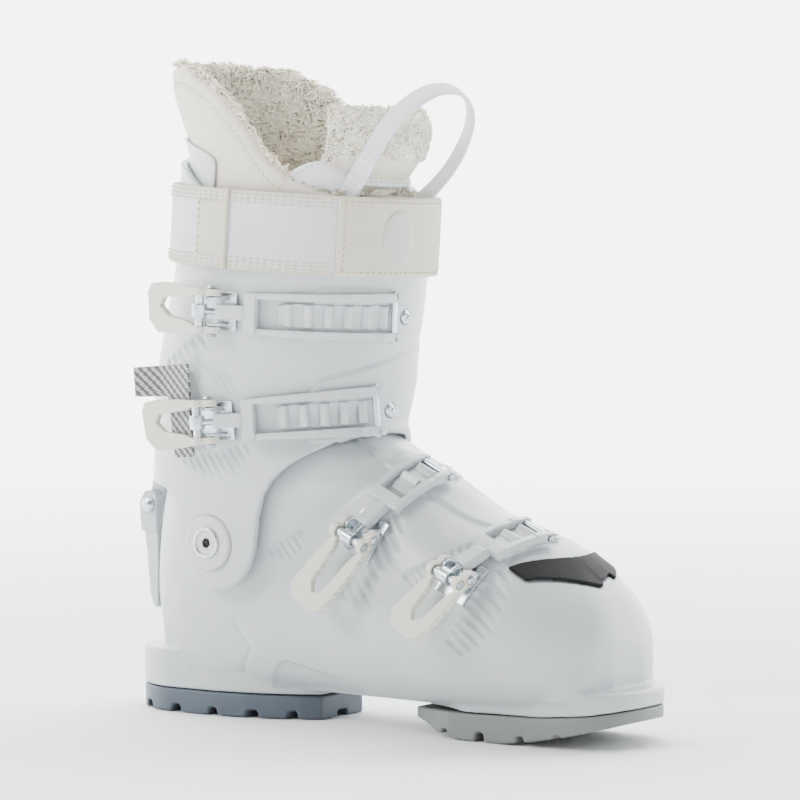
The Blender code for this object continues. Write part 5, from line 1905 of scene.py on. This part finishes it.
def mould_all():
    for base, obj in PIECES.items():
        key = base if base in MOULDS else base.split("_")[0]
        if key in MOULDS and base not in ("lower_shell", "cuff"):
            mould(obj, *MOULDS[key])


def hard_pieces():
    DETAIL.update(ring=28, dense=False)
    low = outer_shell("form")
    low_shell = tree_of(low)
    bpy.data.objects.remove(low)
    low = cuff_solid("form", 0.0)
    low_cuff = tree_of(low)
    bpy.data.objects.remove(low)
    DETAIL.update(ring=RING, dense=True)
    form = outer_shell("form")
    FORM["tree"] = tree_of(form)
    bpy.data.objects.remove(form)
    form = cuff_solid("form", 0.0)
    cuff_tree = tree_of(form)
    bpy.data.objects.remove(form)
    shell = lower_shell()
    cuff_obj = cuff()
    toe_seal()
    heel_sole()
    toe_sole()
    sole_screw("heel_screw", -96, 4.2)
    sole_screw("toe_screw", 88, 4.6)
    ankle_rivet("pivot_lateral", -1)
    ankle_rivet("pivot_medial", 1)
    rear_strut()
    strut_pin()
    for n in (1, 2, 3, 4):
        FORM["band_tree"] = low_cuff if n < 3 else low_shell
        BUCKLES[n] = buckle(n, cuff_tree if n < 3 else FORM["tree"], SPECS[n])
    entry_lever(BUCKLES[2]["band"])
    mould_all()
    mould(shell, 0.95, 3)
    relieve(shell, shell_height(Strokes(SHELL_STROKES, 1.5, 1.9)))
    mould(cuff_obj, 0.95, 3)
    relieve(cuff_obj, cuff_height(Strokes(CUFF_STROKES, 1.2, 1.6)))
    for n in (1, 2, 3, 4):
        inverse = BUCKLES[n]["hub"].inverted()
        for base in ("lever_%d" % n,) + (("entry_lever",) if n == 2 else ()):
            grain_of(PIECES[base], lambda p, m=inverse: tuple(m @ p))
    ankle_rings()


def ankle_rings():
    """Steel ring and dark socket plug on each ankle rivet."""
    for side, word in ((-1, "lateral"), (1, "medial")):
        base = Vector((PIVOT[0], side * 39.5, PIVOT[1]))
        ring = turned("ring", base, (0, side, 0), [(12.0, 7.4), (13.2, 7.4), (13.5, 7.0),
                                                 (13.5, 5.9), (13.1, 5.5), (12.0, 5.5)], 64)
        extra(shade_smooth(mould(ring, 0.2, 1, 0.5)), "look_rivet_ring_" + word, "steel", "cuff",
              "zinc_steel")
        plug = rod("plug", base + Vector((0, side * 9.9, 0)), base + Vector((0, side * 12.4, 0)),
                   2.45, 6)
        extra(plug, "look_rivet_plug_" + word, "black", "cuff", "black_rubber")


# ------------------------------------------------------------------ assembly
def write_in_metres(obj):
    obj.data.transform(Matrix.Scale(0.001, 4) @ Matrix.Translation(SHIFT))
    obj.data.shade_smooth()
    return obj


def build():
    hard_pieces()
    strap_goods()
    liner_goods()
    loop_goods()
    body_of = {n: b for b, nodes in frame["record"]["behaviour"]["bodies"].items()
               for n in nodes}
    for base, obj in PIECES.items():
        write_in_metres(obj)
        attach(obj, body_of[base])
        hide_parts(base)
    for obj, body, slot in EXTRAS:
        write_in_metres(obj)
        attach(obj, body)
    for name, node in frame["nodes"].items():
        if name not in PIECES:
            look = "board" if name in ("bootboard", "footbed") else "liner"
            node.data.materials.clear()
            node.data.materials.append(MATS[look])


def area_light(name, place, aim, size, watts, colour=(1, 1, 1)):
    data = bpy.data.lights.new(name, "AREA")
    data.shape = "RECTANGLE"
    data.size, data.size_y = size
    data.energy = watts
    data.color = colour
    obj = bpy.data.objects.new(name, data)
    obj.location = place
    obj.rotation_euler = (Vector(aim) - Vector(place)).to_track_quat("-Z", "Y").to_euler()
    bpy.context.scene.collection.objects.link(obj)


def studio():
    """Pale floor that curves up into a bright backdrop, soft lights and the camera."""
    verts, faces = [], []
    profile = [(-40.0, 0.0), (1.6, 0.0)]
    for k in range(1, 17):
        a = math.pi / 2 * k / 16
        profile.append((1.6 + 1.2 * math.sin(a), 1.2 - 1.2 * math.cos(a)))
    profile.append((2.8, 9.0))
    turn = Matrix.Rotation(math.radians(35), 3, "Z")
    for x in (-40.0, 40.0):
        for y, z in profile:
            verts.append(tuple(turn @ Vector((x, y, z - 0.0004))))
    n = len(profile)
    faces = [(i, i + n, i + n + 1, i + 1) for i in range(n - 1)]
    mesh = bpy.data.meshes.new("floor")
    mesh.from_pydata(verts, [], faces)
    mesh.update()
    mesh.shade_smooth()
    floor = bpy.data.objects.new("floor", mesh)
    bpy.context.scene.collection.objects.link(floor)
    look = Look("floor_paper", 0.9)
    tone = look.noise(look.place(), 3.0, 2)
    look.colour(look.mix(look.span(tone, 0.3, 0.7), (0.90, 0.905, 0.91), (0.92, 0.925, 0.93)))
    distance = look.node("VectorMath", operation="LENGTH")
    look.link(look.place(), distance.inputs[0])
    glow = look.span(distance.outputs["Value"], 0.35, 2.2, 0.0, 4.5)
    look.bsdf.inputs["Emission Color"].default_value = (0.97, 0.985, 1.0, 1.0)
    look.link(glow, look.bsdf.inputs["Emission Strength"])
    mesh.materials.append(look.done())
    world = bpy.data.worlds.new("studio")
    world.use_nodes = True
    world.node_tree.nodes["Background"].inputs["Color"].default_value = (0.985, 0.993, 1.0, 1)
    world.node_tree.nodes["Background"].inputs["Strength"].default_value = 0.36
    bpy.context.scene.world = world
    area_light("key", (-0.9, -1.3, 1.15), (0, 0, 0.15), (0.8, 0.8), 34, (1.0, 0.99, 0.97))
    area_light("fill", (1.7, -0.6, 0.8), (0, 0, 0.15), (1.0, 1.0), 7, (0.96, 0.985, 1.0))
    area_light("top", (-0.1, 0.3, 1.9), (0, 0, 0.1), (1.0, 1.0), 22)
    azimuth, elevation, distance = math.radians(35), math.radians(3), 1.7
    target = Vector((0.002257, 0.0, 0.152567)) + SHIFT * 0.001
    place = target + distance * Vector((math.sin(azimuth) * math.cos(elevation),
                                        -math.cos(azimuth) * math.cos(elevation),
                                        math.sin(elevation)))
    data = bpy.data.cameras.new("camera")
    data.lens = 162.0
    data.sensor_width = 36.0
    data.clip_end = 20.0
    camera = bpy.data.objects.new("camera", data)
    camera.location = place
    camera.rotation_euler = (target - place).to_track_quat("-Z", "Y").to_euler()
    bpy.context.scene.collection.objects.link(camera)
    bpy.context.scene.camera = camera


studio()
build()
